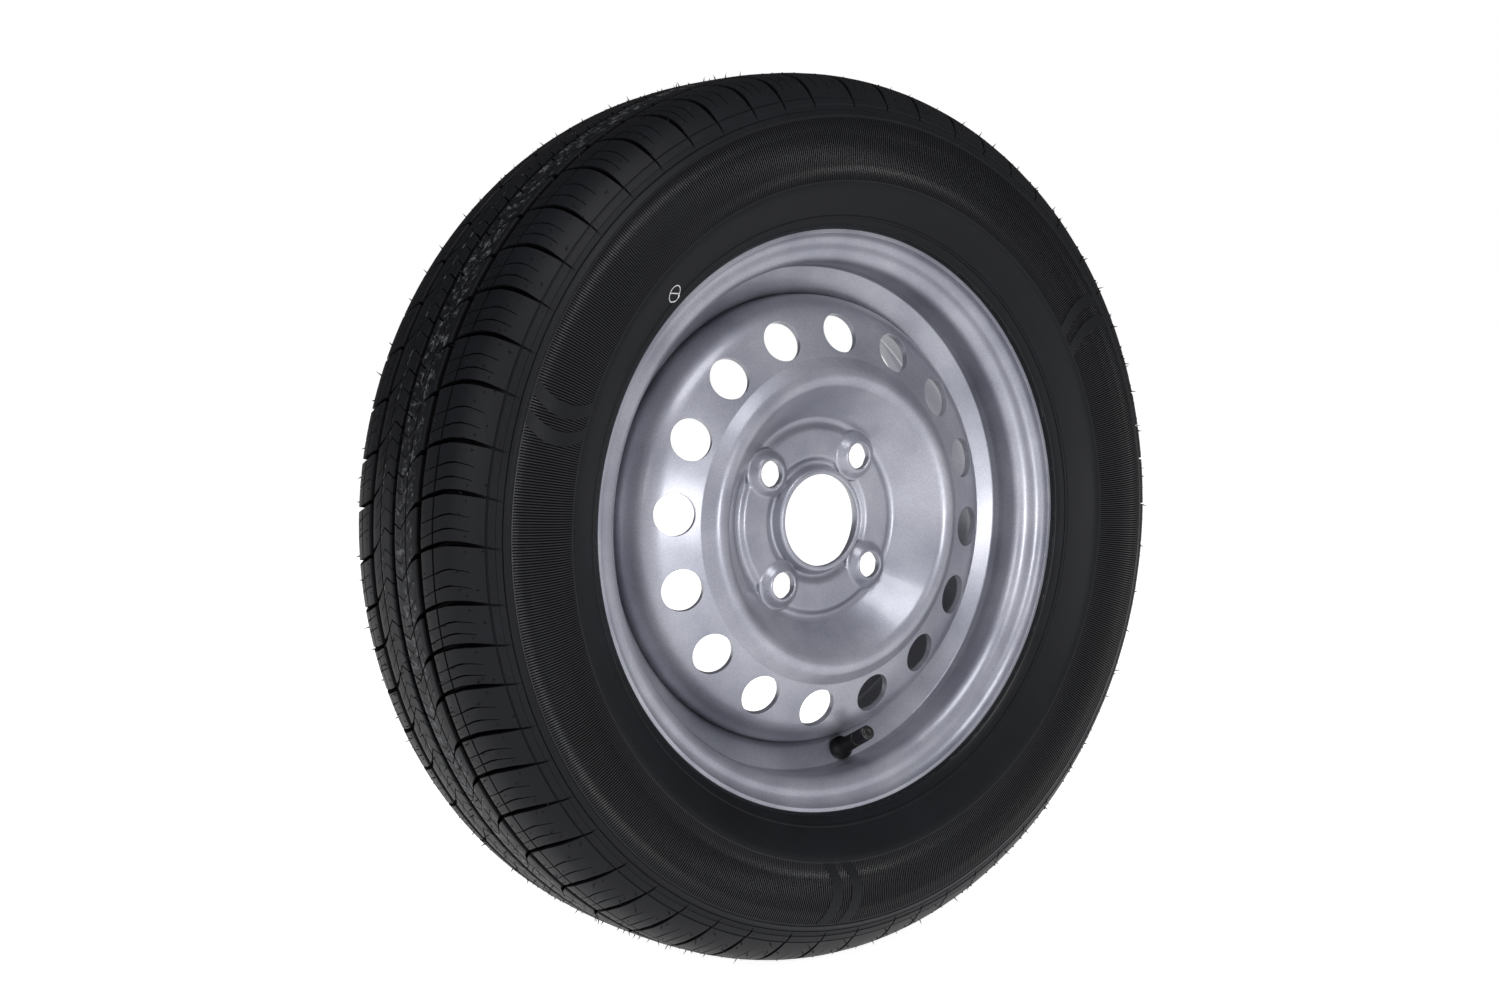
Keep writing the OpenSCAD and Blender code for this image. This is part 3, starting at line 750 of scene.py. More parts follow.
@dataclass
class Tyre:
    """The road tyre: a patterned tread, serrated sidewalls and plain beads."""

    axle: Axle
    finishes: Finishes
    outer_r: float = 280.88
    section_w: float = 165.3
    widest_r: float = 228.0
    shoulder_half: float = 63.8
    shoulder_drop: float = 12.3
    shoulder_slope: float = 40.0
    crown_reach: float = 38.0
    shoulder_reach: tuple[float, float] = (16.0, 12.0)
    widest_reach: float = 18.0
    flange_heading: float = 125.0
    flange_reach: float = 14.0
    flange_r: float = 182.0
    flange_half: float = 50.8
    lip_w: float = 10.2
    lip_clear: tuple[float, float] = (2.0, 3.8)
    rim_gap: float = 0.15
    bead_rounding: tuple[float, float] = (9.6, 6.3)
    seat_r: float = 164.7
    bead_w: float = 16.0
    toe: tuple[float, float] = (2.4, 0.6)
    cavity_reach: tuple[float, float, float, float] = (16.0, 26.0, 24.0, 52.0)
    toe_heading: float = 130.0
    cavity_steps: int = 7
    sidewall_t: float = 6.0
    crown_t: float = 12.5
    pattern_r: float = 270.0
    pitch_order: str = "MMMLMMSMSSLMMLM" * 4
    pitch_share: dict[str, float] = field(default_factory=lambda: {"S": 5.1, "M": 6.0, "L": 6.95})
    first_clock: float = 245.0
    ridge_count: int = 957
    ridge_height: float = 0.42
    # How deep the ridges' valleys count for the painted shade, in millimetres.
    ridge_shade: float = 2.2
    ridges_from: float = 91.0
    ridges_to: float = 130.6
    ridge_fade: tuple[float, float] = (0.5, 0.4)
    ridge_rows: tuple[float, ...] = (101.0, 110.5, 120.5)
    groove_depth: float = 6.9
    channel_floor: float = 0.62
    foot_offset: float = 23.4
    stagger: float = 0.43
    inner_columns: int = 180
    arc_step_deg: float = 18.0
    root_depth: tuple[float, float] = (0.05, 0.2)
    cone_rubber_at: float = 80.0
    hair_seed: int = 13
    hair_r: float = 0.5
    hair_length: tuple[float, float] = (1.6, 4.0)
    hair_scatter: float = 2.5
    hair_lean: tuple[float, float] = (0.8, 1.6)
    hair_clear_deg: float = 10.0
    crown_half: float = 40.0
    low_hairs: int = 26
    low_hairs_between: tuple[float, float] = (-158.0, -134.0)
    low_hair_lean: float = 3.0
    crescent_clocks: tuple[float, ...] = (161.4, 165.4, 32.4, 36.4, 264.9, 268.8)
    crescent_half_deg: float = 1.05
    crescent_bow_deg: float = 2.0
    crescent_grid: tuple[int, int] = (41, 9)
    crescent_root: float = 0.1
    crescent_rubber_at: float = 60.0
    hidden_across: float = 170.0

    @cached_property
    def outline(self) -> tuple[np.ndarray, np.ndarray, np.ndarray]:
        """Half the outer outline from the crown to the flange, as three curves.

        Returns:
            Arc length from the crown, points as radius and distance from the middle, and outward normals.
        """
        crown = np.array([self.outer_r, 0.0])
        shoulder = np.array([self.outer_r - self.shoulder_drop, self.shoulder_half])
        widest = np.array([self.widest_r, self.section_w / 2])
        rise, clear = self.lip_clear
        flange = np.array([self.flange_r + rise, self.flange_half + self.lip_w + clear])
        slope, (before, after) = self.shoulder_slope, self.shoulder_reach
        points = np.concatenate([
            crown[None],
            bezier(crown, (0, self.crown_reach), shoulder, (slope, before)),
            bezier(shoulder, (slope, after), widest, (90, self.widest_reach)),
            bezier(widest, (90, self.widest_reach), flange, (self.flange_heading, self.flange_reach)),
        ])
        step = np.gradient(points, axis=0)
        normal = np.stack([step[:, 1], -step[:, 0]], -1)
        normal /= np.linalg.norm(normal, axis=1)[:, None]
        arc = np.concatenate([[0], np.cumsum(np.linalg.norm(np.diff(points, axis=0), axis=1))])
        return arc, points, normal

    def place(self, across: np.ndarray, lift: np.ndarray, angle: np.ndarray) -> np.ndarray:
        """Place points at an arc length across the tyre, lifted along the outline's normal.

        Args:
            across: arc length from the middle, outboard negative.
            lift: height above the outline.
            angle: clock angle in radians.

        Returns:
            Vertices.
        """
        arc, points, normal = self.outline
        side = np.where(across < 0, -1.0, 1.0)
        s = np.abs(across)
        radius = np.interp(s, arc, points[:, 0]) + lift * np.interp(s, arc, normal[:, 0])
        half = np.interp(s, arc, points[:, 1]) + lift * np.interp(s, arc, normal[:, 1])
        return self.axle.point(radius, angle, self.axle.rim_offset + side * half)

    def clock_at(self, x: np.ndarray) -> np.ndarray:
        """Turn a distance round the pattern circle, from the first pitch, to a clock angle in radians."""
        return math.radians(self.first_clock) - x / self.pattern_r

    def pitch_ends(self) -> np.ndarray:
        """Work out where each pitch starts.

        Returns:
            Angles in radians from the first pitch, with the last being a full turn.
        """
        share = np.array([self.pitch_share[c] for c in self.pitch_order])
        return np.concatenate([[0], np.cumsum(share)]) * 2 * math.pi / share.sum()

    def channel(self, s: np.ndarray) -> dict[str, np.ndarray]:
        """Work out the cross channel and the sipes at distances from the middle.

        The channel runs from a V in the centre rib, through the shoulder in a soft curve, and fades on the
        sidewall. Each value is drawn straight between its knots, which pair a distance with a size.

        Args:
            s: distances from the middle, positive.

        Returns:
            Offset, half width and depth of the channel, and place, half width and depth of the two sipes.
        """
        knots = {
            "offset": ((2, 3.2), (5, 1.7), (9.5, 0), (13, 3.6), (17, 7.8), (20, 10.9), (22, 12.4), (25, 14.4),
                       (31, 17.6), (35, 19.0), (40, 20.55), (45, 21.7), (50, 22.9), (55, 23.25), (60, 23.4),
                       (65, 23.1), (70, 22.5), (77, 21.5), (84, 20.2)),
            "half": ((2, 0.55), (13, 0.55), (17, 0.65), (20, 1.05), (25, 1.5), (32, 1.15), (38, 1.3), (45, 1.5),
                     (65, 1.5), (70, 1.15), (76, 0.8), (84, 0.6)),
            "depth": ((2, 3.0), (15, 3.5), (22, 5.0), (25, 6.5), (31, 6.5), (58, 6.0), (65, 4.6), (71, 2.4),
                      (77, 1.2), (84, 0.6), (86, 0)),
            "first": ((25, 0.333), (32, 0.228), (42.5, 0.263), (55, 0.295), (67.5, 0.263), (78, 0.263),
                      (90, 0.3)),
            "second": ((25, 0.667), (32, 0.52), (42.5, 0.53), (55, 0.575), (67.5, 0.537), (78, 0.537),
                       (90, 0.6)),
            "sipe_half": ((22, 0.32), (30, 0.3), (44.5, 0.3), (45, 0.48), (56, 0.48), (57, 0.26), (68, 0.26)),
            "sipe_depth": ((1.9, 0), (2, 2.8), (21.5, 2.8), (22, 0), (31.9, 0), (32, 2.4), (66.5, 2.4),
                           (67.5, 0)),
        }
        return {key: np.interp(s, *zip(*pairs)) for key, pairs in knots.items()}

    def tread_rows(self) -> tuple[np.ndarray, np.ndarray]:
        """List the rows across half the tread, from the sidewall's edge to the centre groove's floor.

        Returns:
            Distance of each row from the middle, and how deep the row lies below the outline.
        """
        groove = self.groove_depth
        table = np.array([
            (90.6, 0), (90.1, -0.5), (89.4, -0.5), (88.6, 0.1), (86.4, 0.1), (86, 0.6), (85.6, 0.1),
            (82.3, 0.1), (81.9, -0.35), (77.7, -0.35), (77.3, 0.55), (76.7, 0.55), (76.3, 0), (72, 0),
            (67.5, 0), (63, 0), (59, 0), (56.5, 0), (55, 0), (50, 0), (45, 0), (43.2, 0), (42.8, 2.6),
            (42.2, 2.6), (41.8, 0), (38, 0), (34.5, 0), (31.3, 0.35), (30.9, 0.9), (30.0, groove),
            (26.6, groove), (25.5, 0.9), (25.1, 0.35), (22, 0), (20, 0), (17.5, 0), (15.65, 0), (15.3, 1.6),
            (14.7, 1.6), (14.35, 0), (12, 0), (9.5, 0), (5, 0), (2.9, 0), (2.3, 0.5), (1.7, groove - 0.5),
        ], float)
        return table[:, 0], table[:, 1]

    def tread(self, side: float) -> Band:
        """Work out half the tread: rows across it, and 10 columns a pitch along the channel and the sipes.

        The inboard half is the outboard one turned half round and moved by a share of its pitch.

        Args:
            side: -1 for the outboard half, 1 for the inboard one.

        Returns:
            The half's points.
        """
        s, row_depth = self.tread_rows()
        ends = self.pitch_ends()
        pitch = np.diff(ends)[None] * self.pattern_r
        c = {key: column[:, None] for key, column in self.channel(s).items()}
        offset = c["offset"] - self.foot_offset
        half, sipe = c["half"], c["sipe_half"]
        first, second = c["first"] * pitch, c["second"] * pitch
        main = offset
        if side > 0:
            main = self.stagger * pitch - offset
            first, second = (1 - c["second"]) * pitch, (1 - c["first"]) * pitch
        x = np.stack(np.broadcast_arrays(
            main - half, main - self.channel_floor * half, main + self.channel_floor * half, main + half,
            main + first - sipe, main + first, main + first + sipe,
            main + second - sipe, main + second, main + second + sipe,
        ), -1)
        zero, channel, slit = np.zeros_like(half), c["depth"], c["sipe_depth"]
        columns = np.stack([zero, channel, channel, zero, zero, slit, zero, zero, slit, zero], -1)
        angle = self.clock_at(ends[:-1][None, :, None] * self.pattern_r + x)
        row = row_depth[:, None, None]
        depth = np.where(columns > 0, np.maximum(row, columns), row) + 0 * angle
        angle, depth = angle.reshape(len(s), -1), depth.reshape(len(s), -1)
        across = np.broadcast_to(side * s[:, None], angle.shape)
        return Band(self.place(across, -depth, angle), across, depth, angle)

    def ridges(self, side: float) -> Band:
        """Work out one sidewall's band of fine radial ridges, as a zigzag round the wheel.

        Args:
            side: -1 for the outboard wall, 1 for the inboard one.

        Returns:
            The band's points.
        """
        start, end, (fade_in, fade_out) = self.ridges_from, self.ridges_to, self.ridge_fade
        s = np.array([start, start + fade_in, *self.ridge_rows, end - fade_out, end])
        strength = ((s > start) & (s < end))[:, None]
        angle = -around(2 * self.ridge_count)
        crest = np.where(np.arange(len(angle)) % 2 == 0, 0.0, -1.0)[None]
        lift = crest * strength * self.ridge_height
        across, turn = np.broadcast_arrays(side * s[:, None], angle[None])
        # The valleys carry a shade depth of ridge_shade, not their true depth, which paints shade into them.
        return Band(self.place(across, lift, turn), across, -self.ridge_shade * crest * strength, turn)

    def wall(self, side: float) -> Band:
        """Work out one smooth lower sidewall, with the ring that shows the rim's edge.

        Args:
            side: -1 for the outboard wall, 1 for the inboard one.

        Returns:
            The wall's points.
        """
        start, end = self.ridges_to, float(self.outline[0][-1])
        rows = np.array([
            (start + 0.5, 0), (start + 1.2, 0.35), (136, 0.35), (141, 0.3), (146, 0.2), (150, 0.1),
            (153.2, 0), (153.8, 0.6), (155.0, 0.6), (155.6, 0), (158.0, 0), (end, 0),
        ], float)
        s = np.minimum(rows[:, :1], end)
        across, lift, turn = np.broadcast_arrays(side * s, rows[:, 1:], -around(self.inner_columns)[None])
        return Band(self.place(across, lift, turn), across, 0 * across, turn)

    def inside(self) -> Band:
        """Work out the hidden skin from one flange edge, round both beads and the cavity, to the other.

        Returns:
            The skin's points, from the outboard side to the inboard one.
        """
        flange_r, seat_r = self.flange_r + self.rim_gap, self.seat_r + self.rim_gap
        heel, toe_at = self.flange_half - self.rim_gap, self.flange_half - self.bead_w
        upper, lower = self.bead_rounding
        bead = rounded([
            (flange_r, self.flange_half + self.lip_w, 0), (flange_r, heel, upper), (seat_r, heel, lower),
            (seat_r, toe_at, 0),
        ], self.arc_step_deg)
        toe = np.array([self.seat_r + self.toe[0], toe_at - self.toe[1]])
        wide = np.array([self.widest_r, self.section_w / 2 - self.sidewall_t])
        crown = np.array([self.outer_r - self.crown_t, 0.0])
        reach, steps = self.cavity_reach, self.cavity_steps
        half = np.concatenate([
            bead, toe[None],
            bezier(toe, (-self.toe_heading, reach[0]), wide, (-90, reach[1]), steps),
            bezier(wide, (-90, reach[2]), crown, (-180, reach[3]), steps),
        ])
        line = np.concatenate([half * (1, -1), half[-2::-1]])
        turn = np.broadcast_to(-around(self.inner_columns), (len(line), self.inner_columns))
        points = self.axle.point(line[:, :1], turn, line[:, 1:] + self.axle.rim_offset)
        return Band(points, np.full(turn.shape, self.hidden_across), np.zeros(turn.shape), turn)

    def build(self) -> bpy.types.Object:
        """Join the bands into one closed skin.

        Returns:
            The tyre.
        """
        skin = Skin()
        floors, feet = [], []
        for side in (-1.0, 1.0):
            tread, ridges, wall = (skin.add(band(side)) for band in (self.tread, self.ridges, self.wall))
            skin.seam(tread.top, ridges.top)
            skin.seam(ridges.foot, wall.top)
            floors.append(tread.foot)
            feet.append(wall.foot[0])
        skin.seam(*floors)
        hidden = skin.add(self.inside())
        skin.join(feet[0], hidden.top[0], self.inner_columns)
        skin.join(feet[1], hidden.foot[0], self.inner_columns)
        # The depth attribute paints shade into the grooves and the ridges' valleys.
        values = {"across_mm": skin.column("across"), "shade_depth_mm": skin.column("depth")}
        piece = make_object("road_tyre", skin.column("points").reshape(-1, 3), np.concatenate(skin.quads),
                            np.concatenate(skin.tris), 40.0, values)
        return self.finishes.dress(piece, Slot.TYRE, "tyre")

    def trim(self, name: str, points: np.ndarray, quads: np.ndarray, tris: np.ndarray | None,
             across: float) -> bpy.types.Object:
        """Make a small rubber piece that stands on the tyre.

        Args:
            name: the piece's name.
            points: vertices in millimetres.
            quads: faces of four vertices.
            tris: faces of three vertices.
            across: the distance from the middle that its rubber is taken from.

        Returns:
            The object.
        """
        values = {"across_mm": np.full(len(points), across), "shade_depth_mm": np.zeros(len(points))}
        return self.finishes.dress(make_object(name, points, quads, tris, 40.0, values), Slot.TYRE)

    def cones(self, name: str, spots: np.ndarray, sides: int = 6) -> bpy.types.Object:
        """Make small cones that stand on the tyre.

        Args:
            name: the piece's name.
            spots: arc length, place round the tyre, foot radius, height and the tip's drift both ways.
            sides: number of sides.

        Returns:
            The cones as one piece.
        """
        s, x, radius, height, drift_s, drift_x = spots.T
        turn, count = around(sides), len(spots)
        ring_s = s[:, None] + radius[:, None] * np.cos(turn)
        ring_x = x[:, None] + radius[:, None] * np.sin(turn)
        shallow, deep = self.root_depth
        base = self.place(ring_s, np.full(ring_s.shape, -shallow), self.clock_at(ring_x))
        tip = self.place(s + drift_s, height, self.clock_at(x + drift_x))
        foot = self.place(s, np.full(count, -deep), self.clock_at(x))
        i, j = np.arange(count)[:, None], np.arange(sides)[None]
        k = (j + 1) % sides
        up = np.stack(np.broadcast_arrays(i * sides + j, i * sides + k, count * sides + i), -1)
        down = np.stack(np.broadcast_arrays(i * sides + k, i * sides + j, count * (sides + 1) + i), -1)
        return self.trim(name, np.concatenate([base.reshape(-1, 3), tip, foot]), np.zeros((0, 4), int),
                         np.concatenate([up, down]).reshape(-1, 3), self.cone_rubber_at)

    def pips(self) -> bpy.types.Object:
        """Make the low moulding pips beside the channels and in the shoulder blocks.

        Returns:
            The pips as one piece.
        """
        ends = self.pitch_ends()
        size = np.diff(ends) * self.pattern_r
        # Distance from the middle, place past the channel, radius and height.
        rows = ((65.0, 4.2, 0.8, 0.9), (65.0, -4.2, 0.8, 0.9), (79.8, 4.0, 0.7, 0.7), (79.8, -4.0, 0.7, 0.7),
                (47.0, 12.0, 0.6, 0.6), (34.0, 3.4, 0.5, 0.5), (34.0, 11.0, 0.5, 0.5), (34.0, 20.0, 0.5, 0.5))
        spots = []
        for s, past, radius, height in rows:
            main = float(self.channel(np.array([s]))["offset"][0]) - self.foot_offset
            for side in (-1.0, 1.0):
                at = main + past if side < 0 else self.stagger * size - main - past
                spots.append(np.stack(np.broadcast_arrays(
                    side * s, ends[:-1] * self.pattern_r + at, radius, height, 0.0, 0.0), -1))
        return self.cones("tread_pips", np.concatenate(spots))

    def hairs(self) -> bpy.types.Object:
        """Make the thin vent hairs left by the mould, on the tread's ribs and the lower sidewall.

        Those of the crown stay off the four places where the tyre reaches the edges of its box.

        Returns:
            The hairs as one piece.
        """
        rng = np.random.default_rng(self.hair_seed)
        length, quarter = TURN * self.pattern_r, math.pi / 2
        lean_s, lean_x = self.hair_lean
        # Distance from the middle and number round the tyre.
        rows = ((4.0, 70), (14.0, 90), (34.0, 90), (60.0, 80), (73.0, 60))
        spots = []
        for s, count in rows:
            for side in (-1.0, 1.0):
                x = (np.arange(count) + rng.uniform(-0.3, 0.3, count)) * length / count
                clock = self.clock_at(x) % quarter
                clear = np.minimum(clock, quarter - clock) > math.radians(self.hair_clear_deg)
                spots.append(np.stack([
                    side * s + rng.uniform(-self.hair_scatter, self.hair_scatter, count), x,
                    np.full(count, self.hair_r), rng.uniform(*self.hair_length, count),
                    rng.uniform(-lean_s, lean_s, count), rng.uniform(-lean_x, lean_x, count),
                ], -1)[clear | (s > self.crown_half)])
        low, lean = self.low_hairs, self.low_hair_lean
        spots.append(np.stack([
            rng.uniform(*self.low_hairs_between, low), rng.uniform(0, length, low), np.full(low, self.hair_r),
            np.full(low, self.hair_r), rng.uniform(-lean, lean, low), rng.uniform(-lean, lean, low),
        ], -1))
        return self.cones("mould_hairs", np.concatenate(spots), 4)

    def crescents(self) -> bpy.types.Object:
        """Make the smooth crescents that cross the sidewall's ridges, flush with them.

        Each one's clock angle is its middle - bow u^2 + half v, for u and v from -1 to 1 across the band and
        along it.

        Returns:
            The crescents as one piece.
        """
        steps, rows = self.crescent_grid
        size = steps * rows
        u, v = np.linspace(-1, 1, steps)[:, None], np.linspace(-1, 1, rows)[None]
        s = -(self.ridges_from + self.ridges_to + (self.ridges_to - self.ridges_from) * u) / 2
        grid = np.arange(size).reshape(steps, rows)
        edge = np.concatenate([grid[:-1, 0], grid[-1, :-1], grid[:0:-1, -1], grid[0, :0:-1]])
        after = np.roll(edge, -1)
        points, quads = [], []
        for n, middle in enumerate(self.crescent_clocks):
            turn = np.radians(middle - self.crescent_bow_deg * u * u + self.crescent_half_deg * v)
            top = 2 * n * size
            low = top + size
            for lift in (0.0, -self.ridge_height - self.crescent_root):
                points.append(self.place(*np.broadcast_arrays(s, lift, turn)).reshape(-1, 3))
            face = grid_quads(steps, rows, wrap=False)
            quads += [top + face, low + face[:, ::-1],
                      np.stack([top + edge, top + after, low + after, low + edge], -1)]
        return self.trim("sidewall_crescents", np.concatenate(points), np.concatenate(quads), None,
                         self.crescent_rubber_at)


# Rim and disc


@dataclass
class Rim:
    """The rolled rim: flanges, bead seats with humps and the well."""

    axle: Axle
    finishes: Finishes
    seat_r: float = 164.7
    rim_w: float = 101.6
    flange_h: float = 17.3
    curl_r: float = 9.5
    lip_w: float = 10.2
    sheet_t: float = 2.5
    corner_r: float = 6.5
    taper_deg: float = 5.0
    hump_at: float = 19.2
    hump_h: float = 1.3
    hump_run: float = 5.5
    hump_round: float = 6.0
    well_depth: float = 19.0
    well_w: float = 24.5
    well_at: float = 33.3
    wall_lean_deg: float = 26.0
    lip_drop: float = 2.2
    inner_lip_drop: float = 0.6
    lip_rounding: tuple[float, float] = (4.0, 8.0)
    floor_rounding: tuple[float, float] = (6.0, 9.0)
    valve_hole_r: float = 5.75
    hole_reach: float = 8.0
    arc_step_deg: tuple[float, float] = (9.0, 7.0)
    longest_step: float = 8.0
    columns: int = 400

    @property
    def flange_out(self) -> float:
        """Axial place of the outboard flange's inner face."""
        return self.axle.rim_offset - self.rim_w / 2

    def seat(self, distance: float) -> float:
        """Radius of the tapered seat at a distance from the flange."""
        return self.seat_r - distance * math.tan(math.radians(self.taper_deg))

    def bead_line(self, side: int) -> list[Corner]:
        """Corners from a flange's lip to the crest of its hump.

        Args:
            side: 1 for outboard, -1 for inboard.

        Returns:
            Radius, axial place and rounding of each corner.
        """
        edge = self.flange_out if side > 0 else self.axle.rim_offset + self.rim_w / 2
        top = self.seat_r + self.flange_h
        foot = self.hump_at - self.hump_run
        return [
            (top, edge - self.lip_w * side, 0), (top, edge, self.curl_r), (self.seat_r, edge, self.corner_r),
            (self.seat(foot), edge + foot * side, self.hump_round),
            (self.seat(self.hump_at) + self.hump_h, edge + self.hump_at * side, self.hump_round),
        ]

    def section(self) -> np.ndarray:
        """Work out the closed section: the tyre-side line out, and the line one sheet closer to the axle back.

        Returns:
            Radius and axial place of each point.
        """
        well_r = self.seat_r - self.well_depth
        well_out = self.flange_out + self.well_at
        well_in = well_out + self.well_w
        lip_r = self.seat_r - self.lip_drop
        lean = (lip_r - well_r) * math.tan(math.radians(self.wall_lean_deg))
        line = self.bead_line(1) + [
            (lip_r, well_out - lean, self.lip_rounding[0]), (well_r, well_out, self.floor_rounding[0]),
            (well_r, well_in, self.floor_rounding[1]),
            (lip_r - self.inner_lip_drop, well_in + lean, self.lip_rounding[1]),
        ] + self.bead_line(-1)[::-1]
        outer = dense(rounded(line, self.arc_step_deg[0]), self.longest_step)
        inner = dense(rounded(shifted(line, self.sheet_t), self.arc_step_deg[1]), self.longest_step)
        return np.concatenate([outer, inner[::-1]])

    def build(self, valve: "Valve") -> bpy.types.Object:
        """Revolve the section and cut the valve hole.

        Args:
            valve: gives the hole's place.

        Returns:
            The rim.
        """
        section = self.section()
        points = self.axle.point(section[:, :1], around(self.columns)[None], section[:, 1:])
        piece = make_object("rolled_rim", points.reshape(-1, 3),
                            grid_quads(len(section), self.columns, close=True), sharp_deg=30.0)
        cut(piece, valve.cylinder("valve_hole_cutter", self.valve_hole_r, -self.hole_reach, self.hole_reach))
        return self.finishes.dress(piece, Slot.PAINT, "rim")


@dataclass
class Disc:
    """The pressed centre: collar, bolt face with bosses, dish, crown, vent ring and skirt."""

    axle: Axle
    finishes: Finishes
    sheet_t: float = 4.0
    bore_r: float = 29.1
    collar_h: float = 10.8
    collar_edge: float = 0.9
    collar_top_w: float = 3.4
    collar_foot_w: float = 5.7
    collar_rounding: tuple[float, float] = (2.2, 1.4)
    collar_join: float = 6.8
    collar_past: tuple[float, float] = (3.0, 1.2)
    heel_w: float = 4.3
    bore_wall: float = 3.6
    face_rise: float = 2.2
    face_step_w: float = 2.0
    inner_ring_w: float = 3.0
    outer_ring_w: float = 3.4
    dish_r: float = 63.6
    dish_slope: float = 47.3
    crown_r: float = 90.1
    crown_round: float = 9.0
    crease_r: float = 103.0
    crease_round: float = 2.5
    vent_slope: float = 19.9
    crease_at: float = 22.9
    skirt_bend: float = 26.0
    skirt_end: float = 22.0
    skirt_r: float = 143.14
    vent_count: int = 16
    vent_d: float = 26.1
    vent_circle_r: float = 118.5
    vent_clock: float = 85.6
    vent_reach: float = 22.0
    bolt_count: int = 4
    bolt_circle_r: float = 50.0
    bolt_hole_r: float = 8.3
    bolt_clock: float = 52.5
    bolt_at: float = -6.0
    bolt_reach: float = 20.0
    boss_h: float = 11.0
    boss_foot_r: float = 15.9
    boss_flat: float = 0.5
    boss_sink: float = 0.3
    boss_skirt_slope: float = 4.0
    pocket_r: float = 17.8
    pocket_soft: float = 0.9
    front_softness: tuple[float, float, float] = (4.0, 5.0, 0.7)
    back_softness: tuple[float, float, float] = (0.8, 3.0, 0.0)
    pressed_past: tuple[float, float] = (5.0, 6.0)
    fine_past: float = 14.0
    fine_step: float = 1.05
    coarse_step: float = 5.0
    fine_arc_deg: float = 5.5
    coarse_arc_deg: float = 12.0
    sharp_deg: float = 32.0
    columns: int = 416

    @property
    def bolt_face(self) -> float:
        """Axial place of the front of the bolting face."""
        return -self.sheet_t - self.face_rise

    def corners(self, soft_r: float, foot_r: float, spread: float) -> list[Corner]:
        """List the front line's corners from the collar's foot to the skirt's end.

        Args:
            soft_r: rounding of the bolting face's edges.
            foot_r: rounding at the foot of the dish.
            spread: how far the face's edges are widened.

        Returns:
            Radius, axial place and rounding of each corner.
        """
        ring, face, step = -self.sheet_t, self.bolt_face, self.face_step_w
        foot = self.bore_r + self.collar_foot_w
        near, far = foot + self.inner_ring_w, self.dish_r - self.outer_ring_w
        tip = ring - (self.crown_r - self.dish_r) * math.tan(math.radians(self.dish_slope))
        bend = -self.crease_at + (self.skirt_r - self.crease_r) * math.tan(math.radians(self.vent_slope))
        return [
            (foot, ring, 0), (near - spread, ring, soft_r), (near + step + spread, face, soft_r),
            (far - step - spread, face, soft_r), (far + spread, ring, soft_r),
            (self.dish_r + spread, ring, foot_r), (self.crown_r, tip, self.crown_round),
            (self.crease_r, -self.crease_at, self.crease_round), (self.skirt_r, bend, self.skirt_bend),
            (self.skirt_r, self.skirt_end, 0),
        ]

    def pressing(self, radius: np.ndarray, angle: np.ndarray, axial: np.ndarray) -> np.ndarray:
        """Raise the bosses and sink the pockets behind them.

        A pocket pulls the dish wall back to the bolting face inside its circle, and a boss is a ring whose
        wall falls from its rounded top to the face, both along the smooth step 3 t^2 - 2 t^3.

        Args:
            radius: distance from the axle.
            angle: clock angle in radians.
            axial: axial place of the plain surface.

        Returns:
            The pressed axial place.
        """
        period = TURN / self.bolt_count
        off = (angle - math.radians(self.bolt_clock) + period / 2) % period - period / 2
        rho = np.hypot(radius * np.cos(off) - self.bolt_circle_r, radius * np.sin(off))
        blend = np.clip((self.pocket_r + self.pocket_soft - rho) / (2 * self.pocket_soft), 0, 1)
        blend = blend * blend * (3 - 2 * blend)
        sunk = axial + blend * (np.maximum(axial, self.bolt_face) - axial)
        top_r = self.bolt_hole_r + self.boss_flat
        slope = np.clip((rho - top_r) / (self.boss_foot_r - top_r), 0, 1)
        edge = np.interp(rho - self.bolt_hole_r, [0.0, 0.3, 0.9], [0.9, 0.25, 0.0])
        fall = self.boss_h + self.bolt_face + self.boss_sink
        boss = -self.boss_h + fall * slope * slope * (3 - 2 * slope) + edge
        boss = boss + np.maximum(rho - self.boss_foot_r, 0) * self.boss_skirt_slope
        return np.minimum(sunk, boss)

    def front_line(self) -> np.ndarray:
        """Work out the front line from the bore's edge to the skirt's end, with closer points near the bosses.

        Returns:
            Radius and axial place of each point.
        """
        bore, ring, top = self.bore_r, -self.sheet_t, -self.collar_h
        (shoulder_r, foot_r), (end, start) = self.collar_rounding, self.collar_past
        foot = bore + self.collar_foot_w
        collar = rounded([
            (bore, top + self.collar_edge, 0), (bore, top, self.collar_edge),
            (bore + self.collar_top_w, top, shoulder_r), (foot, ring, foot_r), (foot + end, ring, 0),
        ], self.coarse_arc_deg)
        face = rounded([(foot + start, ring, 0)] + self.corners(*self.front_softness)[1:], self.fine_arc_deg)
        line = np.concatenate([collar[collar[:, 0] < bore + self.collar_join], face])
        inner = line[:, 0] < self.dish_r + self.fine_past
        return np.concatenate([dense(line[inner], self.fine_step), dense(line[~inner], self.coarse_step)])

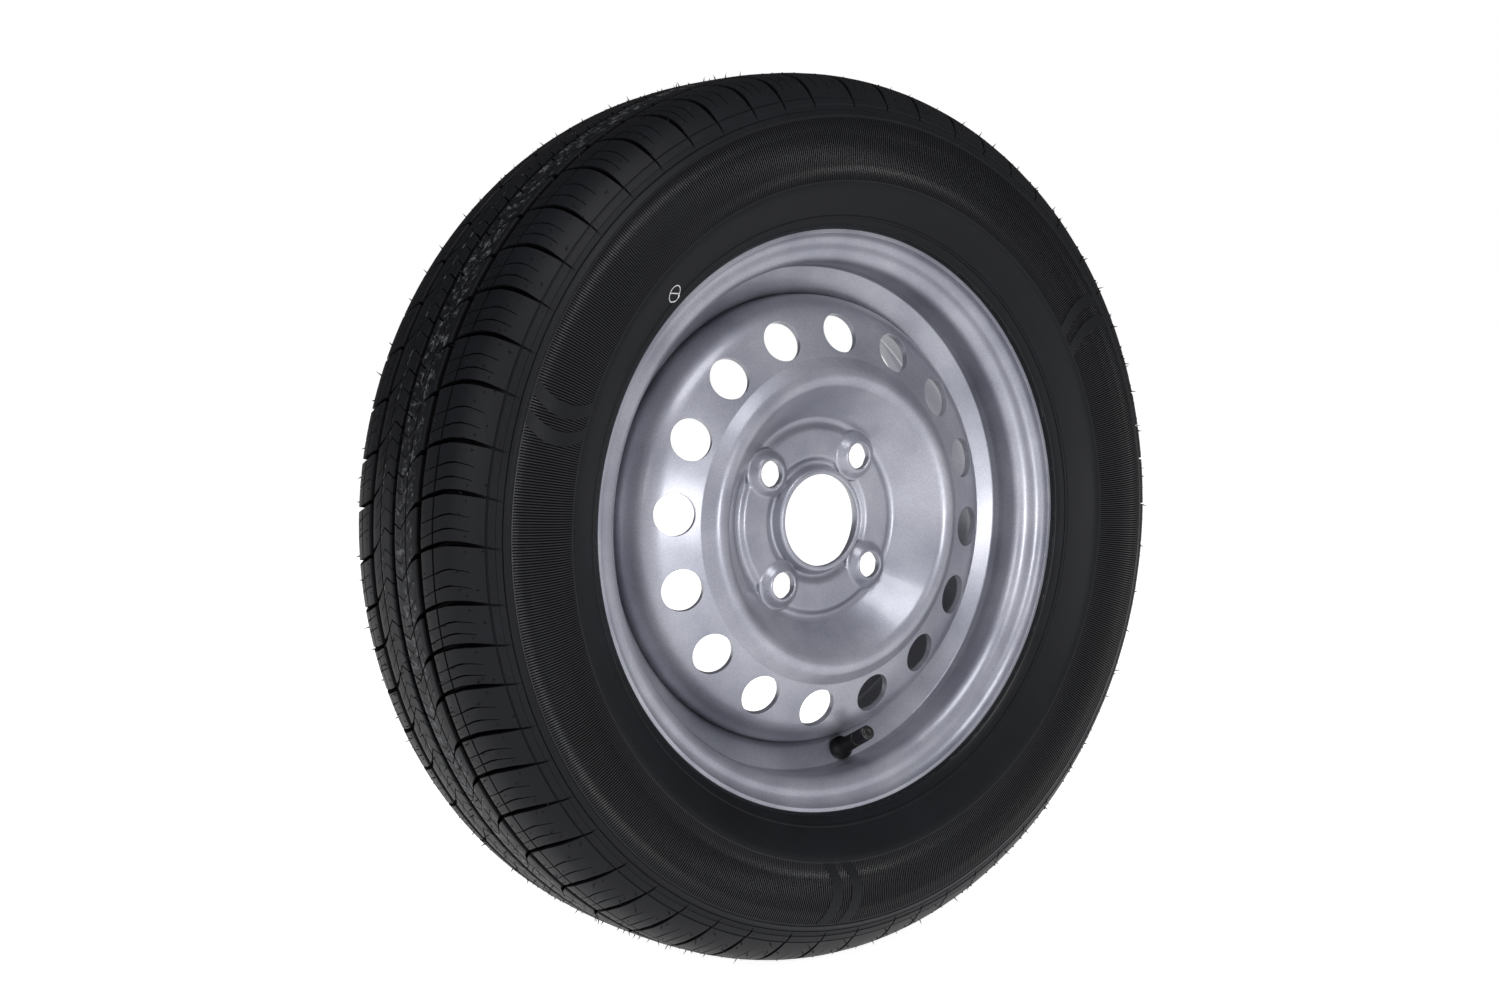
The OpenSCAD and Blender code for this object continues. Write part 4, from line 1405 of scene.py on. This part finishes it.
    def build(self) -> bpy.types.Object:
        """Make the sheet's two faces on one grid, press the bosses, and cut the bolt holes and the vents.

        Returns:
            The disc.
        """
        front = self.front_line()
        back = rounded(shifted(self.corners(*self.back_softness), self.sheet_t), self.coarse_arc_deg)
        back = dense(back, self.coarse_step)[::-1]
        heel = np.array([[self.bore_r + self.heel_w, 0.0], [self.bore_r, -self.collar_h + self.bore_wall]])
        section = np.concatenate([front, back, heel])
        radius, plain, angle = np.broadcast_arrays(section[:, :1], section[:, 1:], around(self.columns)[None])
        behind = self.pressing(radius, angle, plain - self.sheet_t)
        behind = plain + (behind - (plain - self.sheet_t))
        is_back = (np.arange(len(section)) >= len(front))[:, None]
        past_bore, past_dish = self.pressed_past
        in_zone = (radius > self.bore_r + past_bore) & (radius < self.dish_r + past_dish)
        pressed = np.where(is_back, behind, self.pressing(radius, angle, plain))
        points = self.axle.point(radius, angle, np.where(in_zone, pressed, plain)).reshape(-1, 3)
        quads = grid_quads(len(section), self.columns, close=True)
        piece = make_object("pressed_disc", points, quads, sharp_deg=self.sharp_deg)
        cut(piece, self.cutters(), self.sharp_deg)
        return self.finishes.dress(piece, Slot.PAINT, "wheel_disc")

    def cutters(self) -> bpy.types.Object:
        """Make the cylinders that cut the vents, square to the vent ring, and the bolt holes, along the axle.

        Each end is a ring round the hole's axis: middle +- reach + radius (cos w side + sin w up).

        Returns:
            The cylinders as one object.
        """
        slope = math.radians(self.vent_slope)
        vent_at = -self.crease_at + (self.vent_circle_r - self.crease_r) * math.tan(slope)
        kinds = (
            (self.vent_count, self.vent_clock, self.vent_circle_r, vent_at, slope, self.vent_d / 2,
             self.vent_reach),
            (self.bolt_count, self.bolt_clock, self.bolt_circle_r, self.bolt_at, 0.0, self.bolt_hole_r,
             self.bolt_reach),
        )
        sides = 96
        w = around(sides)[:, None]
        points, quads, tris = [], [], []
        for count, first_clock, circle_r, at, lean, radius, reach in kinds:
            for k in range(count):
                clock = math.radians(first_clock + 360.0 * k / count)
                out, side = self.axle.arms(clock)
                axis = out * -math.sin(lean) + np.array([0, math.cos(lean), 0])
                ring = radius * (np.cos(w) * side + np.sin(w) * np.cross(axis, side))
                middle = self.axle.point(circle_r, clock, at)
                caps = np.stack([middle - axis * reach, middle + axis * reach])
                base = len(points) * (2 * sides + 2)
                points.append(np.concatenate([caps[0] + ring, caps[1] + ring, caps]))
                quads.append(grid_quads(2, sides, base))
                tris += [fan(base, sides, base + 2 * sides, flip=True),
                         fan(base + sides, sides, base + 2 * sides + 1)]
        return make_object("hole_cutters", np.concatenate(points), np.concatenate(quads), np.concatenate(tris))


# Valve


@dataclass
class Valve:
    """The snap-in valve: a rubber body on a brass stem, with its core and cap."""

    axle: Axle
    finishes: Finishes
    clock_deg: float = 280.5
    lean_deg: float = 26.0
    up_wall: float = 11.9
    wall_foot_r: float = 143.2
    wall_foot_at: float = 10.938
    length: float = 34.0
    sheet_t: float = 2.5
    hole_d: float = 11.5
    button_d: float = 15.0
    bulb_d: float = 16.6
    sleeve_d: float = 9.8
    sleeve_foot: float = 8.2
    button_h: float = 4.4
    button_lift: float = 0.35
    neck_gap: float = 0.05
    bulb_gap: float = 0.15
    bulb_l: float = 2.6
    bulb_end_r: float = 4.6
    bulb_end: float = 7.0
    inlet_r: float = 1.5
    inlet_l: float = 3.0
    thread_l: float = 11.0
    thread_d: float = 7.7
    thread_pitch: float = 0.794
    thread_depth: float = 0.42
    thread_skin: float = 0.6
    cap_d: float = 9.6
    cap_l: float = 12.4
    cap_end_t: float = 1.6
    cap_gap: float = 0.12
    cap_flutes: int = 16
    flute_depth: float = 0.3
    pin_r: float = 0.6
    pin_stroke: float = 1.0
    wire_r: float = 0.2
    coil_gap: float = 0.12
    coil_turns: int = 7
    core_r: float = 2.6
    plug_l: float = 6.0
    plug_sink: float = 1.4

    @property
    def thread_foot(self) -> float:
        """Where the thread starts along the stem."""
        return self.length - self.thread_l

    @property
    def stem_r(self) -> float:
        """Radius of the plain stem under the rubber."""
        return self.thread_d / 2 - self.thread_skin

    def place(self, local: np.ndarray) -> np.ndarray:
        """Place points of the valve's own frame, whose z runs out along the stem from the rim's open face.

        Args:
            local: x, y and z in millimetres.

        Returns:
            Vertices.
        """
        lean, clock = math.radians(self.lean_deg), math.radians(self.clock_deg)
        out, side = self.axle.arms(clock)
        axis = -math.sin(lean) * out + np.array([0, -math.cos(lean), 0])
        up = np.cross(axis, side)
        seat = self.axle.point(self.wall_foot_r + self.up_wall * math.cos(lean), clock,
                               self.wall_foot_at - self.up_wall * math.sin(lean))
        return seat + local[..., :1] * side + local[..., 1:2] * up + local[..., 2:] * axis

    def turned(self, name: str, outline: np.ndarray, columns: int = 96, closed: bool = False,
               ripple: Ripple | None = None, sharp_deg: float = 35.0) -> bpy.types.Object:
        """Turn an outline round the stem, and join the points that meet on its line.

        Args:
            name: the piece's name.
            outline: radius and z of each point.
            columns: points round the turn.
            closed: whether the last point joins the first.
            ripple: a change of radius as a function of angle, z and radius.
            sharp_deg: the shading angle.

        Returns:
            The object.
        """
        radius, z, angle = np.broadcast_arrays(outline[:, :1], outline[:, 1:], around(columns)[None])
        if ripple is not None:
            radius = radius + ripple(angle, z, radius)
        local = np.stack([radius * np.cos(angle), radius * np.sin(angle), z], -1)
        quads = grid_quads(len(outline), columns, close=closed)
        return make_object(name, self.place(local).reshape(-1, 3), quads, sharp_deg=sharp_deg, merge=True)

    def cylinder(self, name: str, radius: float, low: float, high: float) -> bpy.types.Object:
        """Make a plain cylinder on the stem's line, for cutting."""
        return self.turned(name, np.array([[0, low], [radius, low], [radius, high], [0, high]]))

    def body(self) -> bpy.types.Object:
        """Make the rubber body: bulb, neck in the rim's hole, button, tapered sleeve.

        Returns:
            The body.
        """
        foot, stem_r, inner = self.thread_foot, self.stem_r, self.inlet_r
        sleeve, button, bulb = self.sleeve_d / 2, self.button_d / 2, self.bulb_d / 2
        neck, rise = self.hole_d / 2 - self.neck_gap, self.button_lift
        drop, low = -self.sheet_t - self.bulb_gap, -self.sheet_t - self.bulb_end
        inlet = -self.sheet_t - self.inlet_l
        outline = rounded([
            (stem_r, foot, 0), (sleeve - 0.1, foot, 0.7), (sleeve, foot - 4, 0),
            (sleeve + 0.25, self.sleeve_foot, 5), (button, self.button_h, 1.8), (button, rise, 0.5),
            (neck, rise, 0), (neck, drop, 0), (bulb, drop, 0.5), (bulb, -self.sheet_t - self.bulb_l, 1.4),
            (self.bulb_end_r, low, 1.5), (inner, low, 0), (inner, inlet, 0), (stem_r, inlet, 0),
        ], 12.0)
        piece = self.turned("valve_rubber_body", dense(outline, 1.5), closed=True)
        return self.finishes.dress(piece, Slot.VALVE_RUBBER, "valve_body")

    def stem(self) -> bpy.types.Object:
        """Make the brass stem, with the thread as a zigzag that climbs one pitch a turn.

        Returns:
            The stem.
        """
        foot, thread_r = self.thread_foot, self.thread_d / 2
        end = -self.sheet_t - self.inlet_l
        steps = np.linspace(foot + 0.01, self.length - 0.6, 110)
        outline = np.concatenate([
            [(self.inlet_r, end), (self.stem_r, end), (self.stem_r, foot)],
            np.stack([np.full(len(steps), thread_r), steps], -1),
            [(thread_r - 0.5, self.length), (self.core_r, self.length)],
            [(self.core_r, 12.0), (self.inlet_r, 10.0)],
        ])

        def climb(angle: np.ndarray, z: np.ndarray, radius: np.ndarray) -> np.ndarray:
            """Sink the outer wall by a triangle wave of z / pitch - angle / turn."""
            phase = (z / self.thread_pitch - angle / TURN) % 1
            return np.where(np.abs(radius - thread_r) < 1e-6, -self.thread_depth * np.abs(phase * 2 - 1), 0.0)

        piece = self.turned("valve_brass_stem", outline, 48, True, climb, 50.0)
        return self.finishes.dress(piece, Slot.BRASS, "valve_stem")

    def cap(self) -> bpy.types.Object:
        """Make the dust cap: round flutes on its side and a ring with a dimple on its end.

        Returns:
            The cap.
        """
        top = self.length + 1 + self.cap_end_t
        foot, roof = top - self.cap_l, top - self.cap_end_t
        half, inside = self.cap_d / 2, self.thread_d / 2 + self.cap_gap
        outline = dense(rounded([
            (0, top - 0.5, 0), (1.4, top - 0.5, 0.3), (1.8, top, 0.3), (2.9, top, 0.4),
            (3.2, top - 0.35, 0.3), (half, top - 0.45, 1.0), (half, foot + 1.4, 0.2), (half, foot, 0.2),
            (inside, foot, 0), (inside, roof, 0), (0, roof, 0),
        ], 15.0), 1.2)

        def flute(angle: np.ndarray, z: np.ndarray, radius: np.ndarray) -> np.ndarray:
            """Sink the outer wall by a power of a cosine wave, which fades out at both ends.

            Args:
                angle: the angle round the valve's axis, in radians.
                z: the height along it.
                radius: the distance from it.

            Returns:
                How far each point moves out.
            """
            wave = np.clip(-np.cos(angle * self.cap_flutes), 0, 1) ** 0.7
            reach = np.clip((top - 1.3 - z) / 0.8, 0, 1) * np.clip((z - foot - 0.6) / 0.6, 0, 1)
            return np.where(radius > half - 0.3, -self.flute_depth * wave * reach, 0.0)

        piece = self.turned("valve_dust_cap", outline, 192, ripple=flute)
        return self.finishes.dress(piece, Slot.CAP, "valve_cap", "cap_body")

    def spring(self) -> bpy.types.Object:
        """Make the core's spring: a round wire along a helix, r = coil radius, z rising evenly with the turn.

        Returns:
            The spring.
        """
        plug_foot = self.length - self.plug_sink - self.plug_l
        low, high = plug_foot - 6.2, plug_foot - 0.8
        start, end = low + self.wire_r + 0.03, high - self.wire_r - 0.03
        steps, sides = 32 * self.coil_turns, 8
        t, w = np.linspace(0, self.coil_turns * TURN, steps)[:, None], around(sides)[None]
        radius = self.pin_r + self.wire_r + self.coil_gap + self.wire_r * np.cos(w)
        z = start + (end - start) * t / t[-1] + self.wire_r * np.sin(w)
        local = np.stack(np.broadcast_arrays(radius * np.cos(t), radius * np.sin(t), z), -1)
        points = np.concatenate([local.reshape(-1, 3), [local[0].mean(0), local[-1].mean(0)]])
        count = steps * sides
        tris = np.concatenate([fan(0, sides, count), fan(count - sides, sides, count + 1, flip=True)])
        piece = make_object("core_coil_spring", self.place(points), grid_quads(steps, sides), tris, 50.0)
        self.finishes.dress(piece, Slot.STEEL, "core_spring")
        foot, tip = self.place(np.array([[0, 0, start - self.wire_r], [0, 0, end + self.wire_r]])) * MM
        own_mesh(piece)
        return piece

    def build(self) -> list[bpy.types.Object]:
        """Make the valve's visible pieces."""
        return [self.body(), self.stem(), self.cap(), self.spring()]


# Setting


@dataclass(frozen=True)
class Lamp:
    """A round lamp that faces the wheel: its name, place, diameter and power."""

    name: str
    at: tuple[float, float, float]
    size: float
    watts: float

    def hang(self) -> None:
        """Hang the lamp."""
        data = bpy.data.lights.new(self.name, "AREA")
        data.shape = "DISK"
        data.size = self.size
        data.energy = self.watts
        piece = bpy.data.objects.new(self.name, data)
        piece.location = self.at
        piece.rotation_euler = Vector(self.at).to_track_quat("Z", "Y").to_euler()
        bpy.context.scene.collection.objects.link(piece)


@dataclass
class Studio:
    """The pale floor, the soft lamps, the white surround and the camera."""

    floor_z: float = -0.2812
    floor_half: float = 30.0
    floor_glow: float = 0.9
    camera_at: tuple[float, float, float] = (-0.8513, -1.0959, 0.1024)
    camera_forward: tuple[float, float, float] = (0.600, 0.797, -0.066)
    lens_mm: float = 51.59
    sensor_mm: float = 36.0
    sight_m: float = 100.0
    front_light: float = 0.5
    back_light: float = 0.08
    light_fall: tuple[float, float] = (-0.9, 0.5)
    lamps: tuple[Lamp, ...] = (
        Lamp("front", (-0.3, -3.0, -0.1), 0.9, 42),
        Lamp("left", (-2.6, -1.0, 0.8), 1.6, 26),
        Lamp("top", (-0.9, -1.5, 2.4), 1.6, 46),
    )

    def floor(self) -> None:
        """Lay a wide pale floor that keeps the wheel's shadow and is near white for the camera."""
        mesh = bpy.data.meshes.new("floor")
        half = self.floor_half
        corners = ((-half, -half), (half, -half), (half, half), (-half, half))
        mesh.from_pydata([(x, y, self.floor_z) for x, y in corners], [], [(0, 1, 2, 3)])
        piece = bpy.data.objects.new("floor", mesh)
        bpy.context.scene.collection.objects.link(piece)
        # Matt studio paper, which looks lit from behind to the camera and in the paint, and throws no light.
        m = new_material("pale_studio_floor")
        set_shader(m, {"Base Color": linear("#f4f4f4"), "Roughness": 0.9})
        sight = add_node(m, "LightPath").outputs
        either = add_node(m, "Math", [sight["Is Camera Ray"], sight["Is Glossy Ray"]], operation="MAXIMUM")
        seen = add_node(m, "Math", [either.outputs[0], sight["Is Transmission Ray"]], operation="MAXIMUM")
        share = add_node(m, "Math", [seen.outputs[0], self.floor_glow], operation="MULTIPLY")
        glow = add_node(m, "Emission", {"Color": WHITE, "Strength": 1.0})
        dim = add_node(m, "MixShader", {0: share.outputs[0], 2: glow.outputs[0]})
        nodes = m.node_tree.nodes
        both = add_node(m, "AddShader", [nodes["Surface"].outputs[0], dim.outputs[0]])
        output = next(n for n in nodes if n.type == "OUTPUT_MATERIAL")
        feed(m, output, {"Surface": both.outputs[0]})
        piece.data.materials.append(m)

    def surround(self) -> None:
        """Make the world: a soft light that is weak behind the wheel, and white where the camera sees it."""
        world = bpy.data.worlds.new("studio")
        bpy.context.scene.world = world
        world.use_nodes = True
        world.node_tree.nodes.clear()
        ways = add_node(world, "SeparateXYZ", [add_node(world, "TexCoord").outputs["Generated"]])
        fall = add_node(world, "MapRange", [ways.outputs["Y"], *self.light_fall, self.front_light,
                                            self.back_light])
        soft = add_node(world, "Background", {"Color": WHITE, "Strength": fall.outputs[0]})
        white = add_node(world, "Background", {"Color": WHITE, "Strength": 1.0})
        seen = add_node(world, "LightPath").outputs["Is Camera Ray"]
        mix = add_node(world, "MixShader", [seen, soft.outputs[0], white.outputs[0]])
        add_node(world, "OutputWorld", {"Surface": mix.outputs[0]})

    def camera(self) -> None:
        """Set the camera at the photograph's place."""
        data = bpy.data.cameras.new("camera")
        data.lens = self.lens_mm
        data.sensor_width = self.sensor_mm
        data.clip_end = self.sight_m
        piece = bpy.data.objects.new("camera", data)
        piece.location = self.camera_at
        piece.rotation_euler = Vector(self.camera_forward).to_track_quat("-Z", "Y").to_euler()
        bpy.context.scene.collection.objects.link(piece)
        bpy.context.scene.camera = piece

    def build(self) -> None:
        """Set everything up."""
        self.floor()
        for lamp in self.lamps:
            lamp.hang()
        self.surround()
        self.camera()
        bpy.context.scene.view_settings.view_transform = "Standard"


# Pieces that keep the shape they come with, and the finish of each.
CARRIED = {
    "disc_welds": Slot.PAINT,
    "core_plug": Slot.BRASS,
    "core_barrel": Slot.BRASS,
    "core_barrel_seal": Slot.SEAL,
    "core_pin": Slot.STEEL,
    "core_plunger_cup": Slot.BRASS,
    "core_plunger_seal": Slot.SEAL,
    "valve_cap_seal": Slot.SEAL,
}


def main() -> None:
    """Build the wheel from the tyre inwards, then the setting."""
    logging.basicConfig(level=logging.INFO, format="%(name)s: %(message)s")
    axle = Axle()
    finishes = Finishes()
    finishes.make()
    valve = Valve(axle, finishes)
    tyre = Tyre(axle, finishes)
    pieces = [tyre.build(), tyre.pips(), tyre.hairs(), tyre.crescents()]
    pieces += [Rim(axle, finishes).build(valve), Disc(axle, finishes).build(), *valve.build()]
    for name, slot in CARRIED.items():
        finishes.paint(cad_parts[name], slot)
        pieces.append(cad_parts[name])
    for piece in pieces:
        LOG.info("%s: %d faces", piece.name, len(piece.data.polygons))
    Studio().build()
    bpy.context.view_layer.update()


if __name__ == "__main__":
    main()
